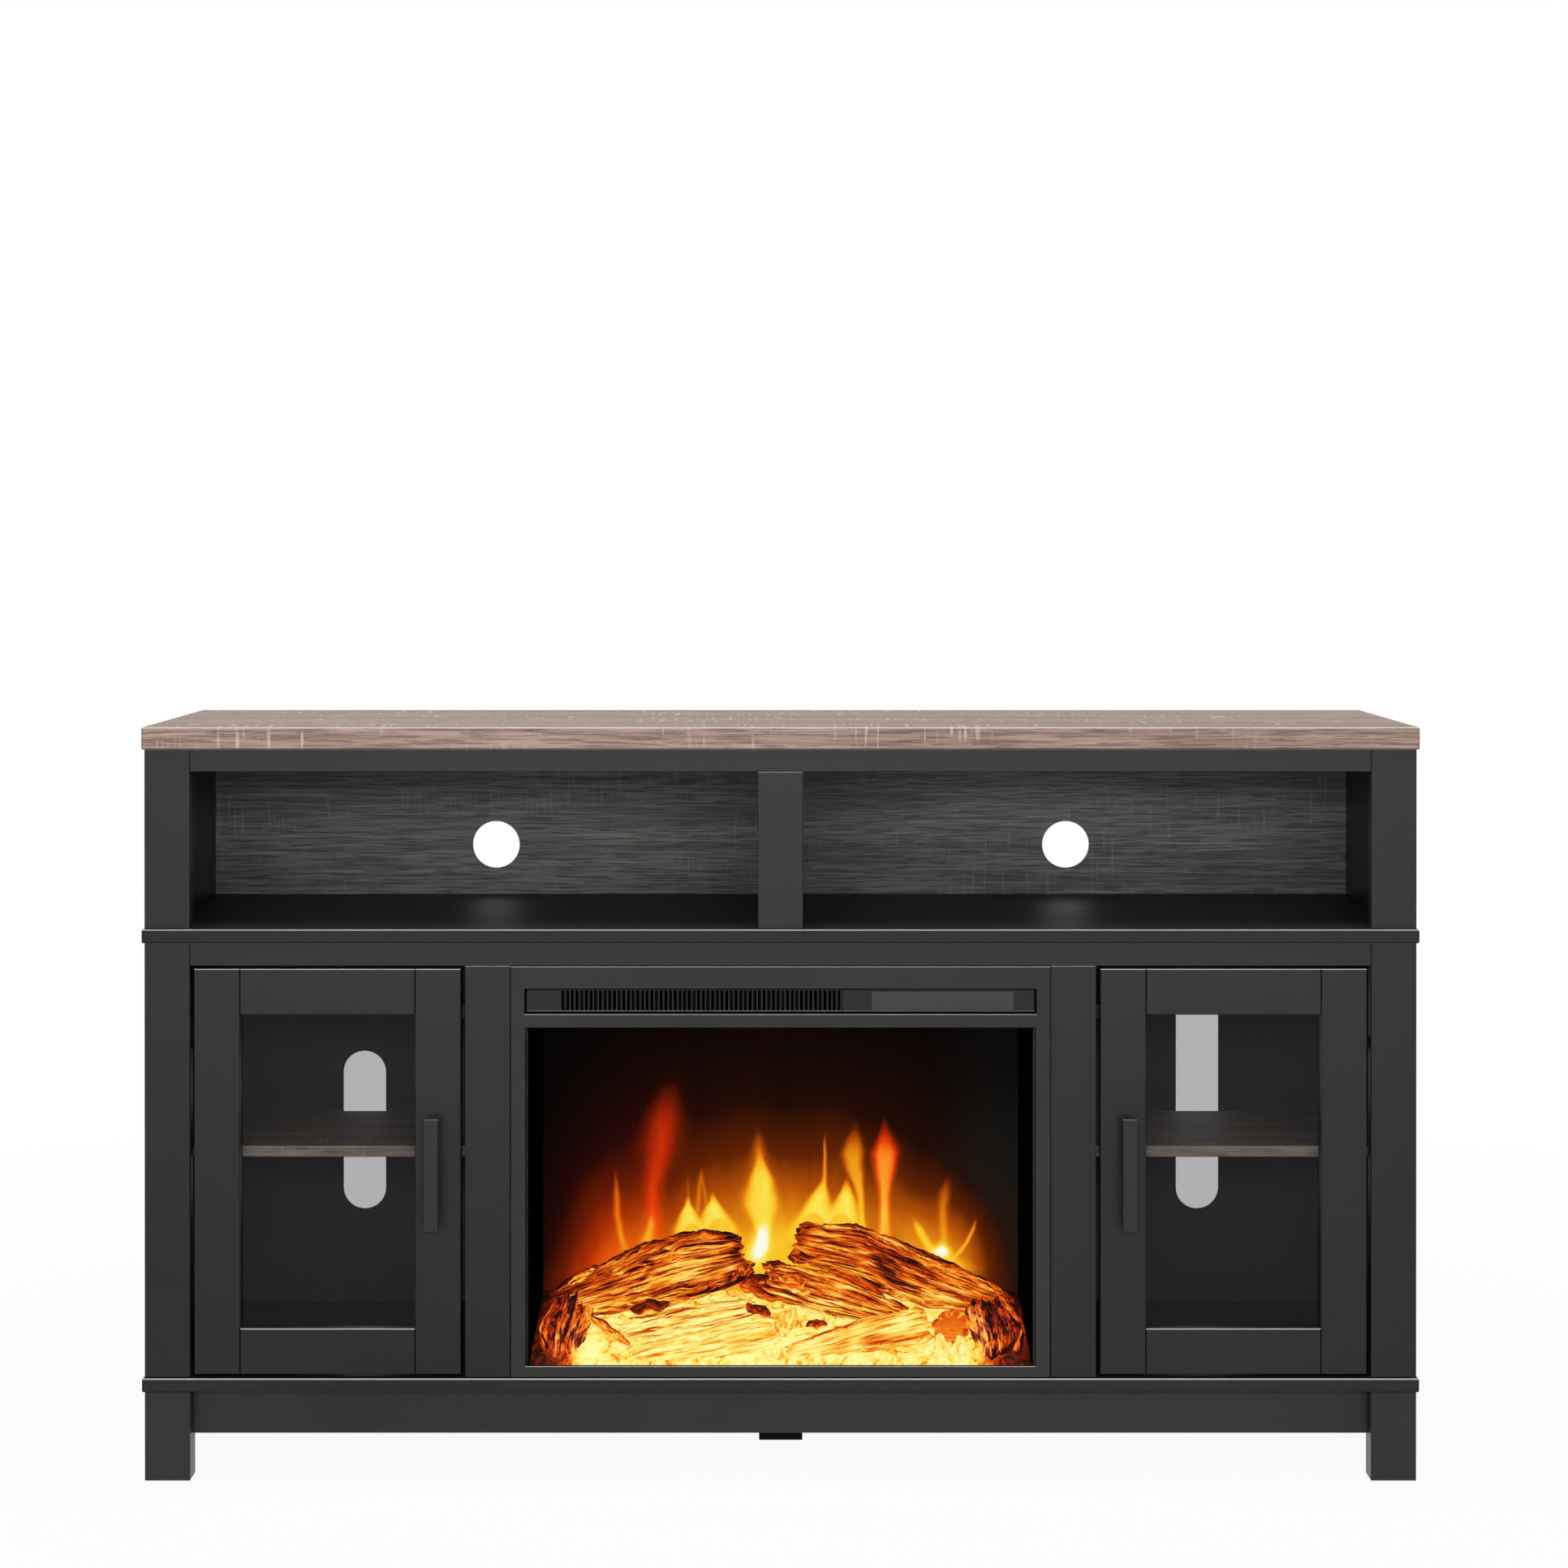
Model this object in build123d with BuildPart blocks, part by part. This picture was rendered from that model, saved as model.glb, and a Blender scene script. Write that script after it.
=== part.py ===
"""Electric fireplace console: an oak-topped cabinet with two glazed doors around a plug-in firebox.

Millimetres. The origin is on the floor under the middle of the whole piece, +X is to the right
as seen from the front, +Y towards the back and +Z up.
"""
import os

from build123d import *

os.makedirs("parts", exist_ok=True)

# Cabinet: overall sizes and the stack of heights from the floor
overall_width = 1365.0
overall_depth = 400.0
leg_height = 97.0
bottom_thickness = 15.0
mid_thickness = 15.0
upper_height = 192.0
top_thickness = 24.0
side_overhang = 2.5
front_overhang = 5.0
rear_overhang = 3.0
board_round = 2.0
edge_round = 0.8

# Cabinet: frame members and panels
post_width = 48.5
frame_step = 2.0
top_rail_height = 24.0
lower_rail_height = 24.5
panel_thickness = 15.0
partition_inset = 11.0
back_thickness = 3.0
back_margin = 5.0
leg_depth = 34.0
apron_height = 49.0
apron_thickness = 15.0
glide_radius = 9.0
glide_thickness = 1.5
spigot_radius = 3.0
spigot_length = 10.0
spigot_clearance = 0.05
foot_depth = 48.0
foot_setback = 180.0

# Cabinet: cable openings in the back
cable_hole_radius = 27.5
cable_hole_height = 58.0
cable_hole_offset = 335.0
slot_width = 50.0
slot_rise = 109.0
slot_length_left = 186.0
slot_length_right = 281.0

# Adjustable shelves and their pins
shelf_thickness = 12.0
shelf_depth = 240.0
shelf_setback = 36.0
shelf_height = 230.0
shelf_clearance = 1.0
pin_radius = 2.5
pin_clearance = 0.05
pin_depth = 9.0
pin_pitch = 32.0
pin_rows = 5
pin_inset = 40.0
tab_reach = 8.0
tab_width = 10.0
tab_height = 8.0

# Doors
door_gap = 4.4
door_gap_high = 3.3
door_thickness = 18.0
frame_width = 49.0
rabbet_width = 7.0
rabbet_depth = 7.0
pane_thickness = 3.0
pane_clearance = 0.5
bead_clearance = 0.2
joint_chamfer = 0.8

# Door handles and their screws
handle_length = 120.0
handle_width = 16.0
handle_thickness = 8.0
handle_reach = 26.0
handle_post_radius = 5.0
handle_centres = 96.0
handle_offset = 5.3
handle_round = 1.0
handle_screw_radius = 2.0
handle_screw_depth = 12.0
screw_clearance = 0.1
screw_head_radius = 3.6
screw_head_height = 2.2

# Concealed hinges: a cup and pin in the door, a goose-neck arm on the post
hinge_edge = 13.0
hinge_drop = 82.0
hinge_rise = 110.0
cup_radius = 17.5
cup_rabbet_gap = 3.0
cup_depth = 12.5
cup_wall = 0.8
cup_clearance = 0.05
wing_width = 22.0
wing_height = 58.0
wing_thickness = 1.2
wing_rim = 1.5
wing_screw_centres = 46.0
hinge_pin_radius = 1.5
hinge_pin_clearance = 0.05
eye_radius = 2.8
eye_clearance = 0.4
neck_thickness = 2.4
neck_width = 14.0
neck_run = 15.0
neck_clearance = 9.3
neck_bend = 4.0
neck_shoulder = 3.0
plate_gap = 3.0
plate_margin = 4.5
plate_height = 44.0
plate_screw_centres = 30.0
wood_screw_radius = 1.6
wood_screw_length = 12.0
wood_screw_head = 3.4
wood_screw_head_height = 1.8

# Magnetic door catches and the strike plates on the doors
catch_length = 47.0
catch_depth = 14.0
catch_height = 16.0
catch_drop = 48.0
strike_inset = 2.0
strike_height = 14.0
strike_gap = 0.3

# Firebox insert: bezel, air outlet, control fascia and front glass
bezel_clearance = 0.5
bezel_proud = 2.0
bezel_depth = 6.0
sheet = 1.5
window_inset = 5.5
window_rise = 12.5
window_gap = 14.5
vent_inset = 4.5
vent_height = 27.0
vent_lift = 7.0
fascia_gap = 2.0
fascia_bottom_gap = 3.0
fascia_top_gap = 0.6
fascia_recess = 1.5
flange_thickness = 2.0
flange_rise = 4.0
flange_clearance = 1.0
louvre_start = 37.5
louvre_length = 302.0
louvre_pitch = 5.0
louvre_slot = 3.4
louvre_land = 1.2
display_start = 31.6
display_end = 24.1
display_height = 19.5
display_rise = 1.4
display_recess = 1.0
lens_thickness = 1.5
lens_land = 2.4
glass_thickness = 4.0
glass_clearance = 0.5

# Firebox insert: sheet-metal body, rear cover, gland and brackets
body_width = 556.0
body_height = 437.0
body_depth = 215.0
body_gap = 11.0
body_top_gap = 3.5
glass_stop = 6.0
rear_flange = 12.0
cover_thickness = 1.2
cover_margin = 1.0
cover_screw_radius = 1.5
cover_screw_length = 6.0
cover_screw_inset = 7.0
intake_columns = 6
intake_rows = 4
intake_length = 46.0
intake_width = 4.0
intake_pitch_x = 60.0
intake_pitch_z = 9.0
intake_drop = 30.0
gland_radius = 8.0
gland_clearance = 0.05
gland_flange_radius = 11.5
gland_flange = 3.0
gland_bore = 3.8
gland_inset = 78.0
gland_rise = 30.0
bracket_length = 40.0
bracket_leg = 16.0

# Flame effect: liners, screen, ember bed, logs, mirrored rotor and lights
liner_thickness = 1.2
screen_rear = 95.0
screen_thickness = 3.0
screen_inset = 16.0
ember_front_height = 12.0
ember_back_height = 66.0
ember_gap = 1.0
log_radius = 34.0
log_taper = 0.86
rotor_rear = 53.0
rotor_rise = 64.0
rotor_shaft_radius = 3.0
shaft_clearance = 0.05
rotor_vanes = 14
vane_reach = 17.0
vane_length = 24.0
vane_thickness = 1.0
vane_twist = 77.0
bearing_inset_left = 31.0
bearing_inset_right = 52.0
bearing_width = 36.0
bearing_rise = 14.0
bearing_thickness = 2.0
motor_radius = 24.0
motor_thickness = 20.0
motor_grip = 12.0
led_inset = 48.0
led_width = 14.0
led_thickness = 1.6
led_rear = 27.0
led_count = 16
led_size = 5.0
led_height = 2.0

# Blower: cross-flow wheel in a cassette, finned heater, motor and control board
cassette_setback = 5.0
cassette_depth = 90.0
cassette_headroom = 1.5
cassette_wall = 3.0
wheel_radius = 20.0
wheel_gap = 3.0
wheel_end_gap = 3.0
wheel_setback = 58.0
wheel_shaft_radius = 3.0
wheel_blades = 24
wheel_disc = 2.0
blade_depth = 6.0
blade_thickness = 1.2
blade_angle = 35.0
duct_height = 25.0
duct_rise = 8.5
heater_setback = 2.0
heater_depth = 14.0
heater_clearance = 0.5
heater_frame = 2.5
heater_slot = 5.0
heater_pitch = 8.0
blower_motor_length = 42.0
blower_motor_size = 46.0
blower_motor_grip = 20.0
blower_motor_round = 6.0
board_setback = 9.0
board_thickness = 1.6
board_height = 46.0
board_margin = 6.0
module_inset = 6.0
module_gap = 0.5
relay_width = 18.0
relay_depth = 15.0
relay_height = 16.0
relay_pitch = 34.0
relay_count = 4
relay_rise = 20.0

# Sizes that follow from the ones above: the frame is deeper than the doors, the hinge cup and pin sit
# in the door's frame, and the hinge plate fits between the post's edge and the side panel
post_thickness = door_thickness + frame_step
cup_centre = frame_width - rabbet_width - cup_rabbet_gap - cup_radius
hinge_depth = door_thickness - cup_depth + cup_wall + eye_radius + eye_clearance
plate_length = post_width - panel_thickness - plate_gap - plate_margin

# The cabinet's opening takes the firebox body, and the body's parts keep their places inside it
lower_height = body_height + body_top_gap + lower_rail_height
insert_opening = body_width + 2 * body_gap
cassette_height = 2 * (wheel_radius + wheel_gap + cassette_wall)
wheel_rise = cassette_height / 2
blower_rise = body_height - 2 * sheet - cassette_headroom - cassette_height
vent_width = body_width - 2 * vent_inset
vent_rise = blower_rise + sheet + vent_lift
window_width = body_width - 2 * window_inset
window_height = vent_rise - window_gap - window_rise
display_width = vent_width - louvre_start - louvre_length - display_start - display_end
gland_offset = body_width / 2 - gland_inset
screen_width = body_width - 2 * screen_inset
screen_setback = body_depth - screen_rear
rotor_setback = body_depth - rotor_rear
bearing_left = bearing_inset_left - body_width / 2
bearing_right = body_width / 2 - bearing_inset_right
led_length = body_width - 2 * led_inset
led_setback = body_depth - led_rear

# Heights from the floor
floor_top = leg_height + bottom_thickness
mid_bottom = floor_top + lower_height
mid_top = mid_bottom + mid_thickness
top_bottom = mid_top + upper_height
overall_height = top_bottom + top_thickness
rail_bottom = mid_bottom - lower_rail_height

# Depths, with the handles counted in so that the origin is under the middle of the whole piece
rear = (overall_depth + handle_reach - front_overhang) / 2
front = rear - overall_depth
carcass_front = front + front_overhang
carcass_rear = rear - rear_overhang - back_thickness
panel_front = carcass_front + post_thickness
door_back = carcass_front + door_thickness

# Distances from the middle
half_width = overall_width / 2 - side_overhang
side_inner = half_width - panel_thickness
post_inner = half_width - post_width
stile_inner = insert_opening / 2
stile_outer = stile_inner + post_width
partition_inner = stile_inner + partition_inset
partition_outer = partition_inner + panel_thickness
bay_middle = (side_inner + partition_outer) / 2

SIDES = (("left", -1), ("right", 1))


def span(sign, near, far):
    """The low and high x of a piece between two distances from the middle, on one side."""
    return min(sign * near, sign * far), max(sign * near, sign * far)


def middle(pair):
    """The point halfway between a low and a high value."""
    return (pair[0] + pair[1]) / 2


def upright(y):
    """The vertical plane across the cabinet at depth y, drawn in (x, z) and facing the front."""
    return Plane.XZ.offset(-y)


def block(x, y, z, rounding=0.0):
    """A rectangular member between three (low, high) pairs, with its edges eased."""
    with BuildPart() as member:
        with BuildSketch(Plane.XY.offset(z[0])):
            with Locations((middle(x), middle(y))):
                Rectangle(x[1] - x[0], y[1] - y[0])
        extrude(amount=z[1] - z[0])
        if rounding:
            fillet(member.edges(), rounding)
    return member.part


def round_bar(centre, direction, radius, length):
    """A cylinder that starts at a point and runs along a direction."""
    with BuildPart() as bar:
        with BuildSketch(Plane(origin=centre, z_dir=direction)):
            Circle(radius)
        extrude(amount=length)
    return bar.part


def cut(body, *tools):
    """The body with other solids taken out of it."""
    with BuildPart() as rest:
        add(body)
        for tool in tools:
            add(tool, mode=Mode.SUBTRACT)
    return rest.part


def fused(*bodies):
    """Several touching solids as one."""
    with BuildPart() as whole:
        for body in bodies:
            add(body)
    return whole.part


def write(shape, name):
    """Label a finished piece and write its STEP file."""
    shape.label = name
    export_step(shape, f"parts/{name}.step")


def write_group(pieces, name):
    """Write several separate solids as one named piece."""
    write(Compound(children=list(pieces)), name)


# Boards: the oak-look top, the middle shelf and the bottom, all a little wider than the carcass
board_x = (-overall_width / 2, overall_width / 2)
write(block(board_x, (front, rear), (top_bottom, overall_height), board_round), "top_panel")
write(block(board_x, (front, carcass_rear), (mid_bottom, mid_top), board_round), "mid_shelf")
write(block(board_x, (front, carcass_rear), (leg_height, floor_top), board_round), "bottom_panel")

# Face frame: rails, divider post, and on each side the posts and the stile beside the insert
frame_y = (carcass_front, panel_front)
rail_x = (-post_inner, post_inner)
top_rail_bottom = top_bottom - top_rail_height
write(block(rail_x, frame_y, (top_rail_bottom, top_bottom), edge_round), "top_rail")
write(block(rail_x, frame_y, (rail_bottom, mid_bottom), edge_round), "lower_rail")
divider_x = (-post_width / 2, post_width / 2)
write(block(divider_x, frame_y, (mid_top, top_rail_bottom), edge_round), "divider_post")

# Hinge places: one pin axis per door and two hinge heights
door_outer = post_inner - door_gap
door_inner = stile_outer + door_gap
door_bottom = floor_top + door_gap_high
door_top = rail_bottom - door_gap_high
hinge_x = door_outer - hinge_edge
hinge_y = carcass_front + hinge_depth
hinge_heights = (door_bottom + hinge_rise, door_top - hinge_drop)
plate_start = post_inner + plate_gap
plate_screw_x = plate_start + plate_length / 2
plate_screw_heights = [z + s * plate_screw_centres / 2 for z in hinge_heights for s in (-1, 1)]

post_x = {side: span(sign, post_inner, half_width) for side, sign in SIDES}
write_group([block(post_x[side], frame_y, (mid_top, top_bottom), edge_round) for side, _ in SIDES],
            "upper_posts")
write_group([block(span(sign, stile_inner, stile_outer), frame_y, (floor_top, rail_bottom), edge_round)
             for _, sign in SIDES], "inner_stiles")
lower_posts = []
for side, sign in SIDES:
    post = block(post_x[side], frame_y, (floor_top, mid_bottom), edge_round)
    pilots = [round_bar((sign * plate_screw_x, panel_front, z), (0, -1, 0),
                        wood_screw_radius + screw_clearance, wood_screw_length)
              for z in plate_screw_heights]
    lower_posts.append(cut(post, *pilots))
write_group(lower_posts, "lower_posts")

# Side panels, partitions and the divider panel, with blind holes for the shelf pins
panel_y = (panel_front, carcass_rear)
lower_z = (floor_top, mid_bottom)
upper_z = (mid_top, top_bottom)
shelf_bottom = floor_top + shelf_height
shelf_y = (carcass_front + shelf_setback, carcass_front + shelf_setback + shelf_depth)
pin_columns = (shelf_y[0] + pin_inset, shelf_y[1] - pin_inset)
pin_z = shelf_bottom - tab_height / 2


def pin_holes(x, direction):
    """Tools for one panel face: two columns of shelf-pin holes around the pin height."""
    tools = []
    for column in pin_columns:
        for row in range(pin_rows):
            height = pin_z + (row - (pin_rows - 1) / 2) * pin_pitch
            tools.append(round_bar((x, column, height), (direction, 0, 0), pin_radius, pin_depth))
    return tools


write(block((-panel_thickness / 2, panel_thickness / 2), panel_y, upper_z, edge_round), "divider_panel")
upper_sides = []
lower_sides = []
partitions = []
for _, sign in SIDES:
    side_x = span(sign, side_inner, half_width)
    partition_x = span(sign, partition_inner, partition_outer)
    upper_sides.append(block(side_x, panel_y, upper_z, edge_round))
    lower_side = block(side_x, panel_y, lower_z, edge_round)
    lower_sides.append(cut(lower_side, *pin_holes(sign * side_inner, sign)))
    partition = block(partition_x, panel_y, lower_z, edge_round)
    partitions.append(cut(partition, *pin_holes(sign * partition_outer, -sign)))
write_group(upper_sides, "upper_sides")
write_group(lower_sides, "lower_sides")
write_group(partitions, "partitions")

# Back panels with the round cable holes above and a tall cable slot below
back_joint = mid_bottom + mid_thickness / 2
back_edge = half_width - back_margin
with BuildPart() as upper_back:
    with BuildSketch(upright(carcass_rear)):
        with Locations((0, (back_joint + top_bottom) / 2)):
            Rectangle(2 * back_edge, top_bottom - back_joint)
        with Locations(*[(sign * cable_hole_offset, mid_top + cable_hole_height) for _, sign in SIDES]):
            Circle(cable_hole_radius, mode=Mode.SUBTRACT)
    extrude(amount=-back_thickness)
write(upper_back.part, "upper_back")

slot_lengths = {"left": slot_length_left, "right": slot_length_right}
back_bottom = leg_height + bottom_thickness / 2
for side, sign in SIDES:
    back_x = span(sign, partition_inner + panel_thickness / 2, back_edge)
    with BuildPart() as lower_back:
        with BuildSketch(upright(carcass_rear)):
            with Locations((middle(back_x), (back_bottom + back_joint) / 2)):
                Rectangle(back_x[1] - back_x[0], back_joint - back_bottom)
            with Locations((sign * bay_middle, floor_top + slot_rise + slot_lengths[side] / 2)):
                SlotOverall(slot_lengths[side], slot_width, rotation=90, mode=Mode.SUBTRACT)
        extrude(amount=-back_thickness)
    write(lower_back.part, f"lower_back_{side}")

# Base: apron, four legs, centre foot and the glides under them
leg_back = carcass_front + leg_depth
apron_z = (leg_height - apron_height, leg_height)
write(block(rail_x, (leg_back - apron_thickness, leg_back), apron_z, edge_round), "apron")
front_leg_y = (carcass_front, leg_back)
rear_leg_y = (carcass_rear - leg_depth, carcass_rear)
foot_y = (front + foot_setback, front + foot_setback + foot_depth)
leg_z = (glide_thickness, leg_height)


def footed(x, y):
    """A leg with the blind hole that takes its glide's spigot."""
    leg = block(x, y, leg_z, edge_round)
    hole = round_bar((middle(x), middle(y), glide_thickness), (0, 0, 1),
                     spigot_radius + spigot_clearance, spigot_length)
    return cut(leg, hole)


def glide(x, y):
    """A disc on the floor with the spigot that goes up into the leg."""
    disc = round_bar((middle(x), middle(y), 0), (0, 0, 1), glide_radius, glide_thickness)
    spigot = round_bar((middle(x), middle(y), 0), (0, 0, 1), spigot_radius,
                       glide_thickness + spigot_length)
    return fused(disc, spigot)


leg_places = [(post_x[side], y) for side, _ in SIDES for y in (front_leg_y, rear_leg_y)]
write_group([footed(x, y) for x, y in leg_places], "legs")
write(footed(divider_x, foot_y), "center_foot")
write_group([glide(x, y) for x, y in leg_places + [(divider_x, foot_y)]], "foot_glides")

# Adjustable shelves and the pins they lie on
pins = []
for side, sign in SIDES:
    shelf_x = span(sign, partition_outer + shelf_clearance, side_inner - shelf_clearance)
    write(block(shelf_x, shelf_y, (shelf_bottom, shelf_bottom + shelf_thickness), edge_round),
          f"shelf_{side}")
    for face, direction in ((sign * side_inner, sign), (sign * partition_outer, -sign)):
        for column in pin_columns:
            peg = round_bar((face, column, pin_z), (direction, 0, 0),
                            pin_radius - pin_clearance, pin_depth - shelf_clearance)
            tab_x = (min(face, face - direction * tab_reach), max(face, face - direction * tab_reach))
            tab = block(tab_x, (column - tab_width / 2, column + tab_width / 2),
                        (shelf_bottom - tab_height, shelf_bottom))
            pins.append(fused(peg, tab))
write_group(pins, "shelf_pins")

# Doors: two full-height stiles and two rails, rebated at the back for the pane and its beads
pane_front = door_back - rabbet_depth
pane_back = pane_front + pane_thickness
light_near = door_inner + frame_width
light_far = door_outer - frame_width
light_z = (door_bottom + frame_width, door_top - frame_width)
rabbet_z = (light_z[0] - rabbet_width, light_z[1] + rabbet_width)
handle_x = door_inner + frame_width / 2 + handle_offset
handle_z = (door_bottom + door_top) / 2
handle_heights = [handle_z + s * handle_centres / 2 for s in (-1, 1)]
cup_x = door_outer - cup_centre


def door_member(x, z, *tools):
    """One stile or rail with broken front edges, cut for the pane and by any other tools."""
    with BuildPart() as member:
        with BuildSketch(upright(door_back)):
            with Locations((middle(x), middle(z))):
                Rectangle(x[1] - x[0], z[1] - z[0])
        extrude(amount=door_thickness)
        chamfer(member.faces().sort_by(Axis.Y)[0].edges(), joint_chamfer)
        for tool in tools:
            add(tool, mode=Mode.SUBTRACT)
    return member.part


def pane_beads(rabbet_x, light_x):
    """The four strips that hold the pane: two across the rabbet and two between them."""
    edge_x = (rabbet_x[0] + bead_clearance, rabbet_x[1] - bead_clearance)
    edge_z = (rabbet_z[0] + bead_clearance, rabbet_z[1] - bead_clearance)
    bead_y = (pane_back, door_back)
    return [block(edge_x, bead_y, (edge_z[0], light_z[0])),
            block(edge_x, bead_y, (light_z[1], edge_z[1])),
            block((edge_x[0], light_x[0]), bead_y, light_z),
            block((light_x[1], edge_x[1]), bead_y, light_z)]


def door_handle(x):
    """A flat bar on two round posts, bored from behind for its screws."""
    bar_y = (carcass_front - handle_reach, carcass_front - handle_reach + handle_thickness)
    bar_x = (x - handle_width / 2, x + handle_width / 2)
    bar = block(bar_x, bar_y, (handle_z - handle_length / 2, handle_z + handle_length / 2), handle_round)
    posts = [round_bar((x, carcass_front, z), (0, -1, 0), handle_post_radius,
                       handle_reach - handle_thickness) for z in handle_heights]
    bores = [round_bar((x, carcass_front, z), (0, -1, 0), handle_screw_radius, handle_screw_depth)
             for z in handle_heights]
    return cut(fused(bar, *posts), *bores)


def headed_screw(place, radius, length, head_radius, head_height):
    """A screw driven towards the front from a point on a rear face, its head behind the face."""
    shank = round_bar(place, (0, -1, 0), radius, length)
    head = round_bar(place, (0, 1, 0), head_radius, head_height)
    return fused(shank, head)


def hinge_cup(x, pin_x, z):
    """The pressed cup with its wings on the door's back face, and the pin across it."""
    outer = cup_radius - cup_clearance
    with BuildPart() as cup:
        with BuildSketch(upright(door_back)):
            with Locations((x, z)):
                Circle(outer)
        extrude(amount=cup_depth - cup_clearance)
        with BuildSketch(upright(door_back)):
            with Locations((x, z)):
                Rectangle(wing_width, wing_height)
                Circle(cup_radius + wing_rim)
            with Locations(*[(x, z + s * wing_screw_centres / 2) for s in (-1, 1)]):
                Circle(wood_screw_radius + screw_clearance, mode=Mode.SUBTRACT)
        extrude(amount=-wing_thickness)
        with BuildSketch(upright(door_back + wing_thickness)):
            with Locations((x, z)):
                Circle(outer - cup_wall)
        extrude(amount=wing_thickness + cup_depth - cup_clearance - cup_wall, mode=Mode.SUBTRACT)
    reach = (outer ** 2 - (abs(x - pin_x) + hinge_pin_radius) ** 2) ** 0.5
    pin = round_bar((pin_x, hinge_y, z - reach), (0, 0, 1), hinge_pin_radius, 2 * reach)
    return fused(cup.part, pin)


def hinge_arm(sign, z):
    """The goose-neck strip from the pin, round the door's edge, to its plate behind the post."""
    pin_x = sign * hinge_x
    plate_y = panel_front + neck_thickness / 2
    neck_y = door_back + neck_clearance
    turn_x = sign * (hinge_x - neck_run)
    with BuildPart() as arm:
        with BuildSketch(Plane.XY.offset(z - neck_width / 2)):
            with BuildLine():
                FilletPolyline((pin_x, hinge_y), (turn_x, hinge_y), (turn_x, neck_y),
                               (sign * (post_inner - neck_shoulder), neck_y),
                               (sign * (plate_start + neck_shoulder), plate_y),
                               (sign * (plate_start + plate_length), plate_y), radius=neck_bend)
            trace(line_width=neck_thickness)
            with Locations((pin_x, hinge_y)):
                Circle(eye_radius)
                Circle(hinge_pin_radius + hinge_pin_clearance, mode=Mode.SUBTRACT)
        extrude(amount=neck_width)
        with BuildSketch(upright(panel_front)):
            with Locations((sign * plate_screw_x, z)):
                Rectangle(plate_length - 2 * neck_shoulder, plate_height)
        extrude(amount=-neck_thickness)
        with BuildSketch(upright(panel_front)):
            with Locations(*[(sign * plate_screw_x, z + s * plate_screw_centres / 2) for s in (-1, 1)]):
                Circle(wood_screw_radius + screw_clearance)
        extrude(amount=-neck_thickness, mode=Mode.SUBTRACT)
    return arm.part


strike_z = door_top - catch_drop
catch_end = partition_outer + catch_length
for side, sign in SIDES:
    rabbet_x = span(sign, light_near - rabbet_width, light_far + rabbet_width)
    light_x = span(sign, light_near, light_far)
    rabbet = block(rabbet_x, (pane_front, door_back), rabbet_z)
    pockets = [round_bar((sign * cup_x, door_back, z), (0, -1, 0), cup_radius, cup_depth)
               for z in hinge_heights]
    wing_places = [(sign * cup_x, door_back, z + s * wing_screw_centres / 2)
                   for z in hinge_heights for s in (-1, 1)]
    pilots = [round_bar(place, (0, -1, 0), wood_screw_radius + screw_clearance, wood_screw_length)
              for place in wing_places]
    handle_places = [(sign * handle_x, door_back, z) for z in handle_heights]
    clear_holes = [round_bar(place, (0, -1, 0), handle_screw_radius + screw_clearance, door_thickness)
                   for place in handle_places]
    members = [
        door_member(span(sign, light_far, door_outer), (door_bottom, door_top), rabbet, *pockets, *pilots),
        door_member(span(sign, door_inner, light_near), (door_bottom, door_top), rabbet, *clear_holes),
        door_member(light_x, (door_bottom, light_z[0]), rabbet),
        door_member(light_x, (light_z[1], door_top), rabbet),
    ]
    write_group(members, f"door_frame_{side}")
    pane_x = (rabbet_x[0] + pane_clearance, rabbet_x[1] - pane_clearance)
    pane_z = (rabbet_z[0] + pane_clearance, rabbet_z[1] - pane_clearance)
    write(block(pane_x, (pane_front, pane_back), pane_z), f"door_glass_{side}")
    write_group(pane_beads(rabbet_x, light_x), f"glass_beads_{side}")
    write(door_handle(sign * handle_x), f"door_handle_{side}")
    write_group([hinge_cup(sign * cup_x, sign * hinge_x, z) for z in hinge_heights],
                f"hinge_cups_{side}")
    strike_x = span(sign, door_inner + strike_inset, catch_end)
    strike_y = (door_back, panel_front - strike_gap)
    strike = block(strike_x, strike_y, (strike_z - strike_height / 2, strike_z + strike_height / 2))
    wing_screws = [headed_screw((x, y + wing_thickness, z), wood_screw_radius, wood_screw_length,
                                wood_screw_head, wood_screw_head_height) for x, y, z in wing_places]
    handle_screws = [headed_screw(place, handle_screw_radius - screw_clearance,
                                  door_thickness + handle_screw_depth - screw_clearance,
                                  screw_head_radius, screw_head_height) for place in handle_places]
    write_group([strike] + wing_screws + handle_screws, f"door_fittings_{side}")

write_group([hinge_arm(sign, z) for _, sign in SIDES for z in hinge_heights], "hinge_arms")
screws = [headed_screw((sign * plate_screw_x, panel_front + neck_thickness, z), wood_screw_radius,
                       wood_screw_length, wood_screw_head, wood_screw_head_height)
          for _, sign in SIDES for z in plate_screw_heights]
write_group([block(span(sign, partition_outer, catch_end), (panel_front, panel_front + catch_depth),
                   (strike_z - catch_height / 2, strike_z + catch_height / 2), edge_round)
             for _, sign in SIDES], "door_catches")

# Insert bezel: folded sheet with returns round the outside, the window and the air outlet
bezel_front = carcass_front - bezel_proud
bezel_back = bezel_front + bezel_depth
bezel_half = stile_inner - bezel_clearance
bezel_z = (floor_top + bezel_clearance, rail_bottom - bezel_clearance)
window_z = (floor_top + window_rise, floor_top + window_rise + window_height)
vent_z = (floor_top + vent_rise, floor_top + vent_rise + vent_height)
vent_half = vent_width / 2
body_half = body_width / 2


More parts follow.
